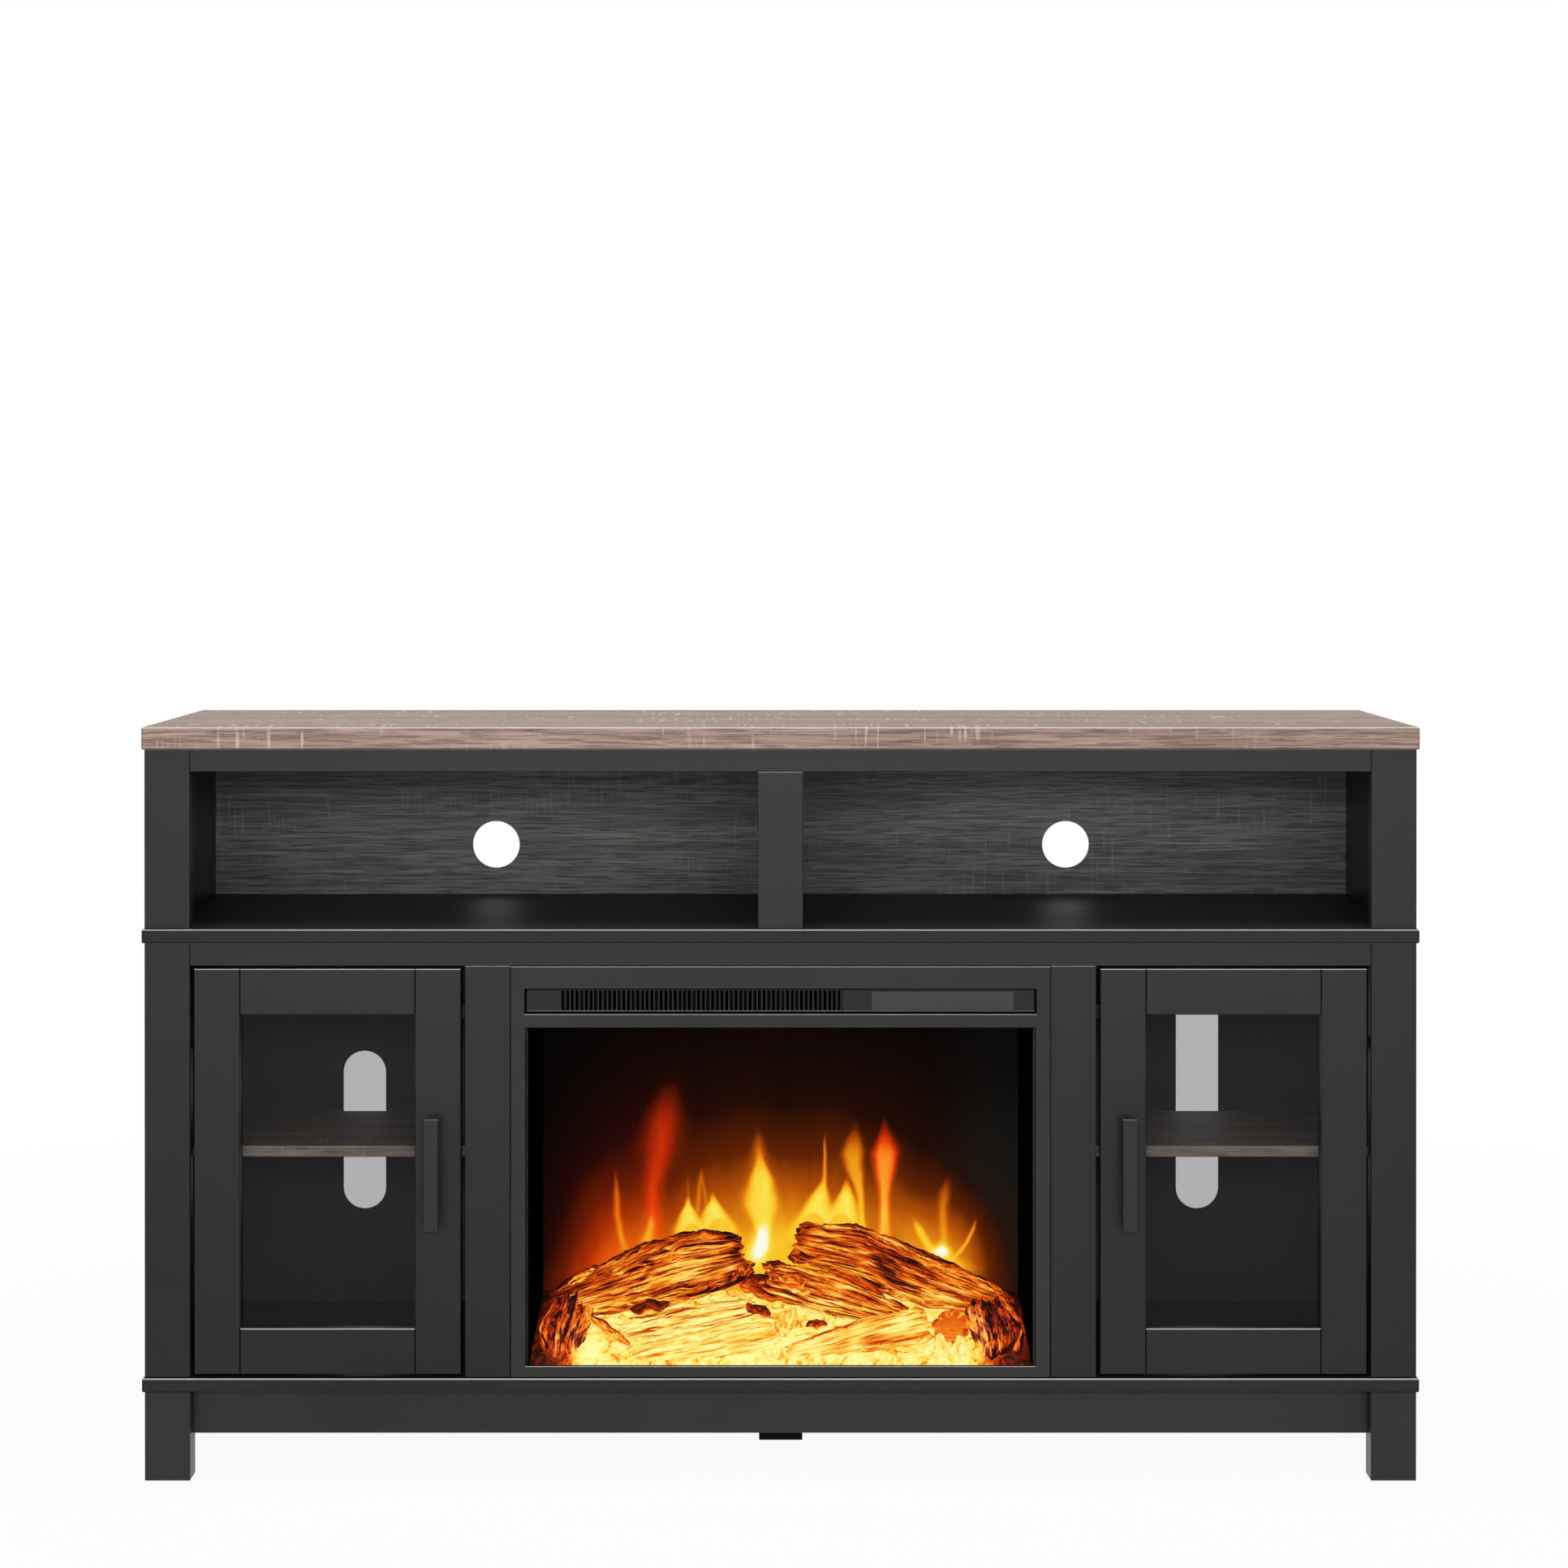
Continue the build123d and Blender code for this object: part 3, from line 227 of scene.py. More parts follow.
def wood(name, dark, pale, line, stroke, roughness, specular, line_share, stroke_share):
    """Foil with a straight grain along x, fine dark lines in it and patches of pale saw strokes across it."""
    paint = Paint(name, roughness, specular)
    broad = paint.noise(stretch=(1.1, 20, 20), detail=3.0)
    streak = paint.noise(stretch=(5.0, 190, 190), detail=5.0, rough=0.70, shift=(3, 1, 2))
    pore = paint.noise(stretch=(22, 620, 620), detail=3.0, rough=0.65, shift=(5, 7, 1))
    saw = paint.noise(stretch=(230, 14.0, 14.0), detail=2.0, rough=0.5, shift=(1, 9, 4))
    patch = paint.noise(stretch=(4.2, 16, 16), detail=2.0, rough=0.5, shift=(8, 2, 6))
    tone = paint.plus(paint.times(broad, WOOD_BROAD_SHARE), paint.times(streak, 1 - WOOD_BROAD_SHARE))
    base = paint.mix(paint.band(tone, low=0.40, high=0.60), dark, pale)
    lines = paint.band(pore, low=0.50, high=0.58)
    lined = paint.mix(paint.times(lines, line_share), base, line)
    strokes = paint.times(paint.band(saw, low=0.58, high=0.66), paint.band(patch, low=0.48, high=0.58))
    sawn = paint.mix(paint.times(strokes, stroke_share), lined, stroke)
    gloss = paint.band(streak, *MIDDLE_RANGE, roughness - WOOD_GLOSSIER, roughness + WOOD_DULLER)
    # Eased edges get a painted highlight in the stroke tone where they face up and painted shade in the line
    # tone elsewhere.
    paint.set(**{"Base Color": edge_highlight_and_shade(paint, sawn, stroke, line), "Roughness": gloss})
    height = paint.plus(paint.times(lines, -PORE_DEPTH), paint.times(strokes, -STROKE_DEPTH))
    paint.bump(height, distance=0.0003, strength=0.5)
    return paint.material


# Darkest and palest tone of a coated surface, its change of gloss, and the tone of its shaded edges
CLOUD_DARK, CLOUD_PALE, CLOUD_GLOSS = 0.86, 1.14, 0.05
EDGE_DARK = 0.25


def satin(name, colour, roughness, specular, grain=700.0, relief=0.00004, metallic=0.0, painted_edge_highlight=0.0, facing=1.0,
          front=None):
    """A coated surface with a fine texture and cloudy tone and gloss.

    One with an edge highlight has painted highlights of that tone on eased edges that face up and painted
    shade on its other eased edges, and one with a front plane has painted shade in the recesses behind it.
    """
    paint = Paint(name, roughness, specular, metallic)
    cloud = paint.noise(stretch=(3, 3, 3))
    tone = paint.mix(paint.band(cloud, *MIDDLE_RANGE), scaled(colour, CLOUD_DARK), scaled(colour, CLOUD_PALE))
    if painted_edge_highlight:
        tone = edge_highlight_and_shade(paint, tone, (painted_edge_highlight, painted_edge_highlight, painted_edge_highlight, 1.0), scaled(colour, EDGE_DARK), facing)
    if front is not None:
        tone = recess_shade(paint, tone, front)
    gloss = paint.band(cloud, *MIDDLE_RANGE, roughness - CLOUD_GLOSS, roughness + CLOUD_GLOSS)
    paint.set(**{"Base Color": tone, "Roughness": gloss})
    paint.bump(paint.noise((grain, grain, grain), detail=2.0), relief, strength=0.5)
    return paint.material


# Lines of brushed metal: features per metre across and along them, their dark tone and change of gloss
BRUSH_ACROSS, BRUSH_ALONG = 900.0, 12.0
BRUSH_DARK, BRUSH_GLOSSIER, BRUSH_DULLER = 0.8, 0.08, 0.1


def brushed(name, colour, roughness, along):
    """Bare metal with fine lines along one axis."""
    paint = Paint(name, roughness, metallic=1.0)
    stretch = [BRUSH_ACROSS] * 3
    stretch[along] = BRUSH_ALONG
    lines = paint.noise(tuple(stretch), detail=3.0)
    gloss = paint.band(lines, *MIDDLE_RANGE, roughness - BRUSH_GLOSSIER, roughness + BRUSH_DULLER)
    paint.set(**{"Base Color": paint.mix(lines, scaled(colour, BRUSH_DARK), colour), "Roughness": gloss})
    paint.bump(lines, distance=0.00005, strength=0.4)
    return paint.material


CLEAN_GLASS = 0.02


def pane(name, tint, ior, smear):
    """Flat glass: clear through, with the gloss of its angle and a trace of smears."""
    paint = Paint(name, roughness=0.03)
    cloud = paint.noise(stretch=(6, 6, 6), detail=3.0)
    shadow = paint.add("LightPath").outputs["Is Shadow Ray"]
    clear = paint.add("BsdfTransparent", {"Color": paint.mix(shadow, (tint, tint, tint, 1.0), WHITE)})
    smeared = paint.band(cloud, low=0.35, high=0.7, start=CLEAN_GLASS, end=CLEAN_GLASS + smear)
    gloss = paint.add("BsdfGlossy", {"Color": WHITE, "Roughness": smeared})
    angle = paint.add("Fresnel", {"IOR": ior}).outputs["Fac"]
    paint.show(paint.add("MixShader", {0: angle, 1: clear.outputs[0], 2: gloss.outputs[0]}))
    return paint.material


def dress(material, *names):
    """Gives CAD nodes a material."""
    for name in names:
        for held in nodes[name].material_slots:
            held.material = material


dress(wood("oak", dark=linear(138, 112, 98), pale=linear(186, 162, 147), line=linear(88, 68, 57),
           stroke=linear(222, 206, 194), roughness=0.52, specular=0.30, line_share=0.62, stroke_share=0.62),
      "top_panel")
# A paler copy of the oak for the shelves: painted light that makes up for the tinted door glass and the shade
# inside the cabinet.
dress(wood("shelf_oak_painted_light", dark=linear(174, 150, 138), pale=linear(214, 196, 184), line=linear(116, 94, 82),
           stroke=linear(232, 220, 211), roughness=0.52, specular=0.30, line_share=0.55, stroke_share=0.45),
      "shelf_left", "shelf_right")
# The back board's tones are much paler than the board looks: painted light that makes up for the shade in the
# upper bays.
dress(wood("dark_grain_painted_light", dark=linear(90, 88, 85), pale=linear(138, 135, 131), line=linear(44, 42, 40),
           stroke=linear(170, 166, 160), roughness=0.55, specular=0.25, line_share=0.60, stroke_share=0.22),
      "upper_back")
# In the satin finishes below, the edge tone paints a highlight on eased edges that face up (down for the
# outlet plastic) and paints shade on the other eased edges, and a front plane paints shade into the recesses
# behind it.
dress(satin("black_foil", grey(33), roughness=0.35, specular=0.19, painted_edge_highlight=0.60),
      "bottom_panel", "top_rail", "lower_rail", "divider_post", "upper_posts", "inner_stiles", "lower_posts",
      "door_frame_left", "door_frame_right", "upper_sides", "lower_sides", "divider_panel")
# A paler copy of the black foil for the apron and legs: painted light that makes up for their dimmer
# lighting.
dress(satin("base_foil_painted_light", grey(43), roughness=0.38, specular=0.20, painted_edge_highlight=0.60), "apron", "legs")
dress(satin("black_shelf", grey(41), roughness=0.50, specular=0.12, painted_edge_highlight=0.50), "mid_shelf")
# A much paler copy of the black foil for the partitions and lower backs: painted light that makes up for the
# shade inside the cabinet behind the door glass.
dress(satin("black_inner_painted_light", grey(82), roughness=0.60, specular=0.06, grain=260.0, relief=0.000008),
      "partitions", "lower_back_left", "lower_back_right")
# The heater and blower wheel take this near-black in place of bare metal: painted shade behind the vent
# slots.
dress(satin("deep_black", grey(12), roughness=0.60, specular=0.08, grain=400.0, relief=0.00003),
      "center_foot", "blower_cassette", "blower_wheel", "heater")
dress(satin("black_metal", linear(38, 38, 37), roughness=0.34, specular=0.24, grain=1400.0, relief=0.00003,
            painted_edge_highlight=0.62), "firebox_shell", "firebox_cover", "insert_brackets", "blower_motor")
dress(satin("handle_black", linear(34, 34, 33), roughness=0.32, specular=0.24, grain=1600.0, relief=0.00002,
            painted_edge_highlight=0.16), "door_handle_left", "door_handle_right")
dress(satin("black_plastic", linear(34, 34, 33), roughness=0.42, specular=0.22, grain=1100.0, relief=0.00005),
      "glass_beads_left", "glass_beads_right", "door_catches", "cord_gland", "rotor_bearings")
dress(satin("outlet_plastic", linear(52, 52, 51), roughness=0.46, specular=0.03, grain=1100.0, relief=0.00005,
            painted_edge_highlight=0.40, facing=-1.0, front=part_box("vent_grille")[0][1]), "vent_grille", "control_fascia")
dress(satin("bezel_metal", linear(58, 58, 57), roughness=0.40, specular=0.05, grain=1400.0, relief=0.00003,
            painted_edge_highlight=0.70, front=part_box("insert_bezel")[0][1]), "insert_bezel")
dress(satin("lens_plastic", grey(36), roughness=0.22, specular=0.30, grain=500.0, relief=0.00001),
      "display_lens")
dress(satin("liner_black", grey(3), roughness=0.90, specular=0.0, grain=900.0, relief=0.00001), "side_liners")
dress(satin("glide_grey", grey(70), roughness=0.6, specular=0.3), "foot_glides")
dress(brushed("steel", grey(190), roughness=0.32, along=2), "hinge_cups_left", "hinge_cups_right",
      "door_fittings_left", "door_fittings_right", "hinge_arms", "screws", "shelf_pins")
dress(brushed("foil", linear(225, 225, 228), roughness=0.16, along=0), "flame_rotor")
dress(satin("zinc", linear(150, 152, 156), roughness=0.4, specular=0.5, grain=300.0, relief=0.00003,
            metallic=0.9), "rotor_motor")
dress(satin("circuit", linear(30, 92, 58), roughness=0.4, specular=0.4, grain=500.0, relief=0.0001),
      "led_board", "control_board")
dress(pane("door_pane", tint=0.66, ior=1.20, smear=0.03), "door_glass_left", "door_glass_right")
dress(pane("fire_pane", tint=0.98, ior=1.035, smear=0.01), "front_glass")

# Points along each side of a noise's table, by the number of its dimensions
TABLE_SIZES = {2: 64, 3: 32}


def smooth_noise(seed, *place):
    """Smooth noise from -1 to 1 over a plane or in space."""
    size = TABLE_SIZES[len(place)]
    table = np.random.RandomState(seed).uniform(-1, 1, (size,) * len(place))
    corners = [np.floor(c).astype(int) for c in place]
    parts = [smooth(c - corner, 0, 1) for c, corner in zip(place, corners)]
    total = 0.0
    for step in itertools.product((0, 1), repeat=len(place)):
        weight = math.prod(part if far else 1 - part for part, far in zip(parts, step))
        total = total + weight * table[tuple((corner + far) % size for corner, far in zip(corners, step))]
    return total


def waves(x, y, facts):
    """Noise over a plane, from its size, the width and height of its features, two shifts and a seed."""
    size, wide, high, shift_x, shift_y, seed = facts
    return size * smooth_noise(seed, x / wide + shift_x, y / high + shift_y)


def cells(x, y, facts, size=64):
    """Distance to the nearest and next nearest of points scattered one to a cell.

    Facts give a cell's width and height, two shifts and a seed.
    """
    wide, high, shift_x, shift_y, seed = facts
    x, y = x / wide + shift_x, y / high + shift_y
    jitter = np.random.RandomState(seed).uniform(0.1, 0.9, (size, size, 2))
    x0, y0 = np.floor(x).astype(int), np.floor(y).astype(int)
    near = np.full(x.shape, np.inf)
    following = np.full(x.shape, np.inf)
    for dx in (-1, 0, 1):
        for dy in (-1, 0, 1):
            spot = jitter[(x0 + dx) % size, (y0 + dy) % size]
            gap = np.hypot(x0 + dx + spot[..., 0] - x, y0 + dy + spot[..., 1] - y)
            following = np.minimum(following, np.maximum(near, gap))
            near = np.minimum(near, gap)
    return near, following


def bell(value, middle, spread, power=2.0):
    """1 at a middle value, falling off over a spread on both sides."""
    return np.exp(-np.abs((value - middle) / spread) ** power)


def summed(terms):
    """The sum of features, each times its amount."""
    return sum(amount * feature for amount, feature in terms)


def piece(name, points, faces, values, material, replaced=()):
    """A new mesh from points in millimetres, with named values at its points, riding on the cabinet."""
    mesh = bpy.data.meshes.new(name)
    mesh.from_pydata((np.asarray(points) * MM).tolist(), [], faces)
    for key, numbers in values.items():
        numbers = np.asarray(numbers, np.float32)
        vector = numbers.ndim == 2
        attribute = mesh.attributes.new(key, "FLOAT_VECTOR" if vector else "FLOAT", "POINT")
        attribute.data.foreach_set("vector" if vector else "value", numbers.ravel())
    mesh.polygons.foreach_set("use_smooth", [True] * len(mesh.polygons))
    mesh.materials.append(material)
    outward = bmesh.new()
    outward.from_mesh(mesh)
    bmesh.ops.recalc_face_normals(outward, faces=outward.faces)
    outward.to_mesh(mesh)
    outward.free()
    mesh.update()
    obj = bpy.data.objects.new(name, mesh)
    scene.collection.objects.link(obj)
    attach(obj, "cabinet")
    if replaced:
        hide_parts(*replaced)


def numbered(rows, columns, first=0):
    """A grid of point numbers, row by row."""
    return first + np.arange(rows * columns).reshape(rows, columns)


def closed(index):
    """A grid of point numbers whose first column comes again at the end, so that it makes a tube."""
    return np.concatenate([index, index[:, :1]], 1)


def grid_faces(index):
    """Quads between the rows and columns of a grid of point numbers."""
    corners = [index[:-1, :-1], index[:-1, 1:], index[1:, 1:], index[1:, :-1]]
    return np.stack(corners, -1).reshape(-1, 4).tolist()


def slab_faces(rows, columns):
    """Faces of a slab: a grid of points in front, walls from its rim and a back on four more points."""
    index = numbered(rows, columns)
    back = [index.size + k for k in range(4)]
    rim = (index[0], index[:, -1], index[-1, ::-1], index[::-1, 0])
    walls = [edge[::-1].tolist() + [back[k], back[(k + 1) % 4]] for k, edge in enumerate(rim)]
    return grid_faces(index) + walls + [back[::-1]]


# Where the fire stands, in millimetres
screen_low, screen_high = [np.array(c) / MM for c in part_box("flame_screen")]
bed_low, bed_high = [np.array(c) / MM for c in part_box("ember_bed")]
HEARTH = bed_low[2]
BED_BACK_HEIGHT = bed_high[2] - bed_low[2]
BED_FRONT_HEIGHT = 12.0
BED_DEPTH = bed_high[1] - bed_low[1]
SCREEN_HALF = screen_high[0]

# Heat to colour, for the flames, for redder flames and for embers
HEAT_TOP = 1.2
HEAT_STOPS = (0.0, 0.10, 0.24, 0.40, 0.56, 0.72, 0.88, 1.0, 1.2)
FLAME = ((0.0012, 0.0008, 0.0008), (0.016, 0.0032, 0.0006), (0.12, 0.0165, 0.0006), (0.46, 0.082, 0.0015),
         (0.78, 0.24, 0.005), (0.97, 0.47, 0.014), (1.0, 0.66, 0.035), (1.0, 0.80, 0.09), (1.0, 1.0, 0.85))
RED_FLAME = ((0.0012, 0.0008, 0.0008), (0.024, 0.002, 0.0008), (0.16, 0.009, 0.001), (0.46, 0.019, 0.001),
             (0.80, 0.056, 0.002), (0.97, 0.20, 0.01), (1.0, 0.46, 0.03), (1.0, 0.70, 0.10), (1.0, 0.9, 0.5))
EMBER = ((0.006, 0.0006, 0.0003), (0.030, 0.0014, 0.0003), (0.125, 0.007, 0.0004), (0.34, 0.019, 0.0006),
         (0.68, 0.062, 0.0015), (0.94, 0.20, 0.006), (1.0, 0.475, 0.038), (1.0, 0.76, 0.10),
         (1.0, 0.98, 0.36))
COOL_GLOW = (0.0050, 0.0056, 0.0048, 1.0)


def heat_ramp(paint, value, colours):
    """The colour of a heat, as a ramp over the stops above."""
    share = paint.times(value, 1 / HEAT_TOP)
    return paint.colours(share, [(place / HEAT_TOP, colour + (1.0,))
                                 for place, colour in zip(HEAT_STOPS, colours)])


FLICKER = 0.05
SCREEN_BLACK = (0.001, 0.001, 0.001, 1.0)


def flame_paint():
    """Lit acrylic: the picture's heat, redness and cool haze, with a fine unevenness."""
    paint = Paint("flame_picture", roughness=1.0, specular=0.0)
    fine = paint.noise(stretch=(70, 70, 22), detail=3.0)
    heat = paint.times(paint.named("warmth"), paint.band(fine, *MIDDLE_RANGE, 1 - FLICKER, 1 + FLICKER))
    glow = paint.mix(paint.named("redness"), heat_ramp(paint, heat, FLAME), heat_ramp(paint, heat, RED_FLAME))
    haze = paint.mix(paint.named("coolness"), BLACK, COOL_GLOW)
    paint.set(**{"Base Color": SCREEN_BLACK, "Emission Strength": 1.0,
                 "Emission Color": paint.mix(1.0, glow, haze, "ADD")})
    return paint.material


# How the resin's noises shift its heat: a noise's range, and the shift at its two ends for a contrast of 1
BROAD_SHIFT, LINES_SHIFT, FINE_SHIFT = ((0.38, 0.62, -0.9, 0.6), (0.41, 0.50, -1.9, 0.45),
                                        (0.40, 0.52, -0.9, 0.35))


def ember_paint(name, base, speck, stretch, contrast):
    """Resin lit from inside: glow by heat, dark bark lines along the grain, charred crust with grey ash."""
    paint = Paint(name, roughness=0.8, specular=0.06)
    paint.place = paint.named("bark", "Vector")

    def resin_noise(share, rough, shift):
        return paint.noise(tuple(share * s for s in stretch), 3.0, rough, shift)

    def shifted(noise, low, high, cooler, hotter):
        return paint.band(noise, low, high, cooler * contrast, hotter * contrast)

    broad = resin_noise(share=0.36, rough=0.6, shift=(4, 2, 7))
    lines = resin_noise(share=1.0, rough=0.6, shift=(1, 5, 3))
    fine = resin_noise(share=2.6, rough=0.65, shift=(6, 3, 2))
    change = paint.plus(shifted(broad, *BROAD_SHIFT), shifted(lines, *LINES_SHIFT))
    heat = paint.plus(paint.named("warmth"), paint.plus(change, shifted(fine, *FINE_SHIFT)))
    ash = paint.mix(paint.band(broad, low=0.54, high=0.66), base + (1.0,), speck + (1.0,))
    glow = heat_ramp(paint, heat, EMBER)
    paint.set(**{"Base Color": ash, "Emission Strength": 1.0, "Emission Color": glow})
    paint.bump(paint.plus(lines, fine), distance=0.0010, strength=0.8)
    return paint.material


# The flame picture: each tongue has its heat, its redness, the softness of its edge, and its outline
# from base to tip as (height over the hearth, middle, half width) in millimetres
TONGUES = (
    (0.33, 1.60, 1.20, ((112, -140, 12), (140, -140, 11), (160, -141, 10), (182, -141, 10), (200, -138, 13),
                        (212, -136.5, 16), (227, -134.8, 20), (242, -131.8, 20), (258, -128, 18),
                        (274, -124.5, 15), (312, -117, 10))),
    (0.36, 0.25, 1.2, ((112, -172, 4), (124, -176, 3), (150, -179, 3.4), (170, -180, 3.4), (190, -182, 2),
                       (208, -183, 1))),
    (0.40, 0.1, 1.2, ((108, -152, 7), (124, -147, 5.5), (138, -144, 3.6), (152, -143, 1.6))),
    (0.95, 0.0, 0.6, ((124, -95, 21), (134, -99, 17), (150, -101, 9), (160, -101.5, 3.5), (172, -102, 1))),
    (0.95, 0.0, 0.6, ((124, -70, 26), (136, -70, 21), (152, -73, 12), (165, -74, 4), (176, -75, 1))),
    (0.24, 0.1, 1.2, ((150, -92, 3), (170, -90, 2.6), (190, -87, 2), (206, -85, 1))),
    (0.20, 0.1, 1.2, ((150, -80, 2), (172, -83, 2), (200, -86, 1))),
    (0.16, 0.1, 1.2, ((160, -101, 2), (176, -101, 1.6), (194, -100, 1))),
    (0.90, 0.0, 0.65, ((112, -19, 6), (131, -19, 8), (147, -20.5, 12), (160, -21.2, 17), (170, -21.2, 16.5),
                       (189, -21, 11.5), (206, -22, 6), (216, -24, 3), (226, -25, 1.2))),
    (0.30, 0.15, 1.3, ((150, -22, 14), (190, -22, 13), (222, -25, 6), (252, -26, 3))),
    (0.95, 0.0, 0.65, ((124, 38, 32), (140, 38, 24), (152, 40, 17), (168, 42, 10), (181, 44, 5),
                       (192, 46, 2))),
    (0.50, 0.1, 1.0, ((172, 44, 3.4), (190, 46, 2.4), (215, 47.5, 1.6), (246, 48.5, 0.8))),
    (0.94, 0.0, 0.65, ((124, 66, 30), (140, 68, 21), (160, 70, 13), (176, 71, 6), (192, 72, 1.5))),
    (0.54, 0.12, 0.75, ((120, 92, 3), (140, 90, 2.6), (165, 87, 3.4), (185, 83, 5), (202, 79.5, 9.5),
                        (218, 78.6, 12.5), (234, 79.5, 9), (250, 80, 3), (258, 80, 1))),
    (0.70, 1.60, 0.75, ((118, 114, 8), (140, 114.5, 6), (165, 114, 6), (185, 113, 7), (205, 113.5, 12),
                        (218, 114, 14), (232, 115, 9.5), (248, 115.5, 4), (262, 116, 1))),
    (0.34, 0.0, 1.0, ((112, 114, 8), (130, 114.5, 6), (150, 114, 4), (172, 113.5, 2))),
    (0.74, 0.0, 1.1, ((92, 180, 26), (104, 178, 13), (114, 177, 6), (122, 176, 2))),
    (0.70, 0.05, 0.9, ((104, 172, 5), (116, 163, 5), (128, 155, 5), (138, 150, 4), (146, 147, 2))),
    (0.30, 0.1, 1.2, ((106, 180, 4), (130, 180, 4), (160, 179, 5), (174, 181, 7), (186, 184, 4.5),
                      (198, 188, 2))),
    (0.50, 0.1, 0.9, ((100, 188, 4), (108, 197, 3), (120, 206, 2.4), (134, 213, 2), (148, 218, 1))),
)
# How a tongue fades: from its middle outwards, below its base in millimetres, and in shares of its height
TONGUE_FALL, TONGUE_POWER = 1.1, 2.6
TONGUE_FOOT, TONGUE_TIP = 14, 2
TONGUE_RISE, TONGUE_TAPER = 0.15, 0.35
TONGUE_HEAT_TOP = 1.01
TINT_FADE = 0.5
# Arches of dimmer light under the tents: middle, half width, foot and crest over the hearth
ARCHES = ((-97, 12, 122, 141), (-68, 15, 124, 147), (36, 16, 130, 153), (66, 14, 132, 152))
ARCH_COOLING, ARCH_EDGE, ARCH_FOOT = 0.17, (0.72, 1.05), 30
# Sideways sway of the tongues and unevenness of the glow, as facts for waves, and where the sway sets in
SWAYS = ((3.0, 38, 46, 7, 0, 3), (1.4, 15, 21, 0, 9, 4))
SWAY_HEIGHTS = (90, 220)
GLOW_WAVES = (0.12, 30, 60, 0, 0, 8)
# The line of the logs' tops, from which the main and left glow fall off: its height in the middle, its drop
# at a half width, the power of its curve, and how far below it the fall starts
CREST_HEIGHT, CREST_DROP, CREST_HALF, CREST_POWER, CREST_LEAD = 128, 46, 262, 1.7, 30
# Soft glows: heat, then middle, spread and power of the fall across and of the fall upwards
MAIN_GLOW = (0.68, (-2, 196, 3.2), (0, 92, 1.7))
LEFT_GLOW = (0.64, (-165, 80, 2.6), (0, 92, 1.5))
RIGHT_GLOW = (0.46, (172, 54, 2.0), (92, 58, 2.0))
HAZE = (0.18, (5, 170, 3.0), (0, 165, 2.0))
HAZE_FOOT = 110
CORE = (0.58, (-24.5, 11.5, 2.0), (112, 20, 2.0))
CORE_LEAN = 0.25
RIGHT_CORE = (0.40, (178, 9, 2.0), (110, 6, 2.0))
RED_GLOW, RED_SPREAD = 0.80, (-205, 90)
# The cool haze on the right: where it starts, the heats that hide it and how it thins out at the top
COOL_SIDE, COOL_HEATS, COOL_HEIGHTS, COOL_THINNING = (150, 240), (0.02, 0.2), (210, 340), 0.7
LEAST_WEIGHT = 1e-4
PICTURE_STEP = 1.6
PICTURE_RELIEF = 0.8
RELIEF_RANGE = (0.2, 0.9)


def tongue(x, h, soft, outline):
    """How much of one tongue is at a place, from 0 to 1."""
    heights, middles, halves = np.array(outline, float).T
    centre, half = np.interp(h, heights, middles), np.interp(h, heights, halves)
    body = np.exp(-TONGUE_FALL * np.power(np.abs(x - centre) / half, TONGUE_POWER / soft))
    base, tip = heights[0], heights[-1]
    rise = smooth(h, base - TONGUE_FOOT, base + TONGUE_RISE * (tip - base))
    return body * rise * (1 - smooth(h, tip - TONGUE_TAPER * (tip - base), tip + TONGUE_TIP))


def soft_glow(facts, across, up):
    """Heat of one soft glow."""
    heat, wide, high = facts
    return heat * bell(across, *wide) * bell(up, *high)


def fire_picture(x, h):
    """Heat, redness, cool haze and tongue share of the picture at places in millimetres."""
    swayed = x + sum(waves(x, h, facts) for facts in SWAYS) * smooth(h, *SWAY_HEIGHTS)
    crest = CREST_HEIGHT - CREST_DROP * np.abs(x / CREST_HALF) ** CREST_POWER
    rise = np.maximum(h - crest + CREST_LEAD, 0)
    heat = np.maximum(soft_glow(MAIN_GLOW, x, rise), soft_glow(LEFT_GLOW, x, rise))
    heat = heat + soft_glow(RIGHT_GLOW, x, h) * (1 - heat)
    heat = heat + soft_glow(HAZE, x, np.maximum(h - HAZE_FOOT, 0)) * (1 - heat)
    heat = heat * (1 + waves(x, h, GLOW_WAVES))
    red = RED_GLOW * bell(x, *RED_SPREAD) * heat
    weight = heat
    shape = np.zeros_like(x)
    for strength, tint, soft, outline in TONGUES:
        share = tongue(swayed, h, soft, outline)
        value = strength * share
        shape = np.maximum(shape, share)
        heat = heat + value * np.maximum(TONGUE_HEAT_TOP - heat, 0)
        red = red * (1 - TINT_FADE * value) + tint * value
        weight = weight * (1 - TINT_FADE * value) + value
    for middle, half, foot, crest in ARCHES:
        spread = ((swayed - middle) / half) ** 2 + (np.maximum(h - foot, 0) / (crest - foot)) ** 2
        heat = heat - ARCH_COOLING * (1 - smooth(spread, *ARCH_EDGE)) * smooth(h, foot - ARCH_FOOT, foot)
    leaning = x - CORE_LEAN * (h - CORE[2][0])
    heat = heat + soft_glow(CORE, leaning, h) + soft_glow(RIGHT_CORE, x, h)
    cool = (smooth(x, *COOL_SIDE) * (1 - smooth(heat, *COOL_HEATS))
            * (1 - COOL_THINNING * smooth(h, *COOL_HEIGHTS)))
    red = np.clip(red / np.maximum(weight, LEAST_WEIGHT), 0, 1)
    return np.clip(heat, 0, HEAT_TOP), red, cool, shape


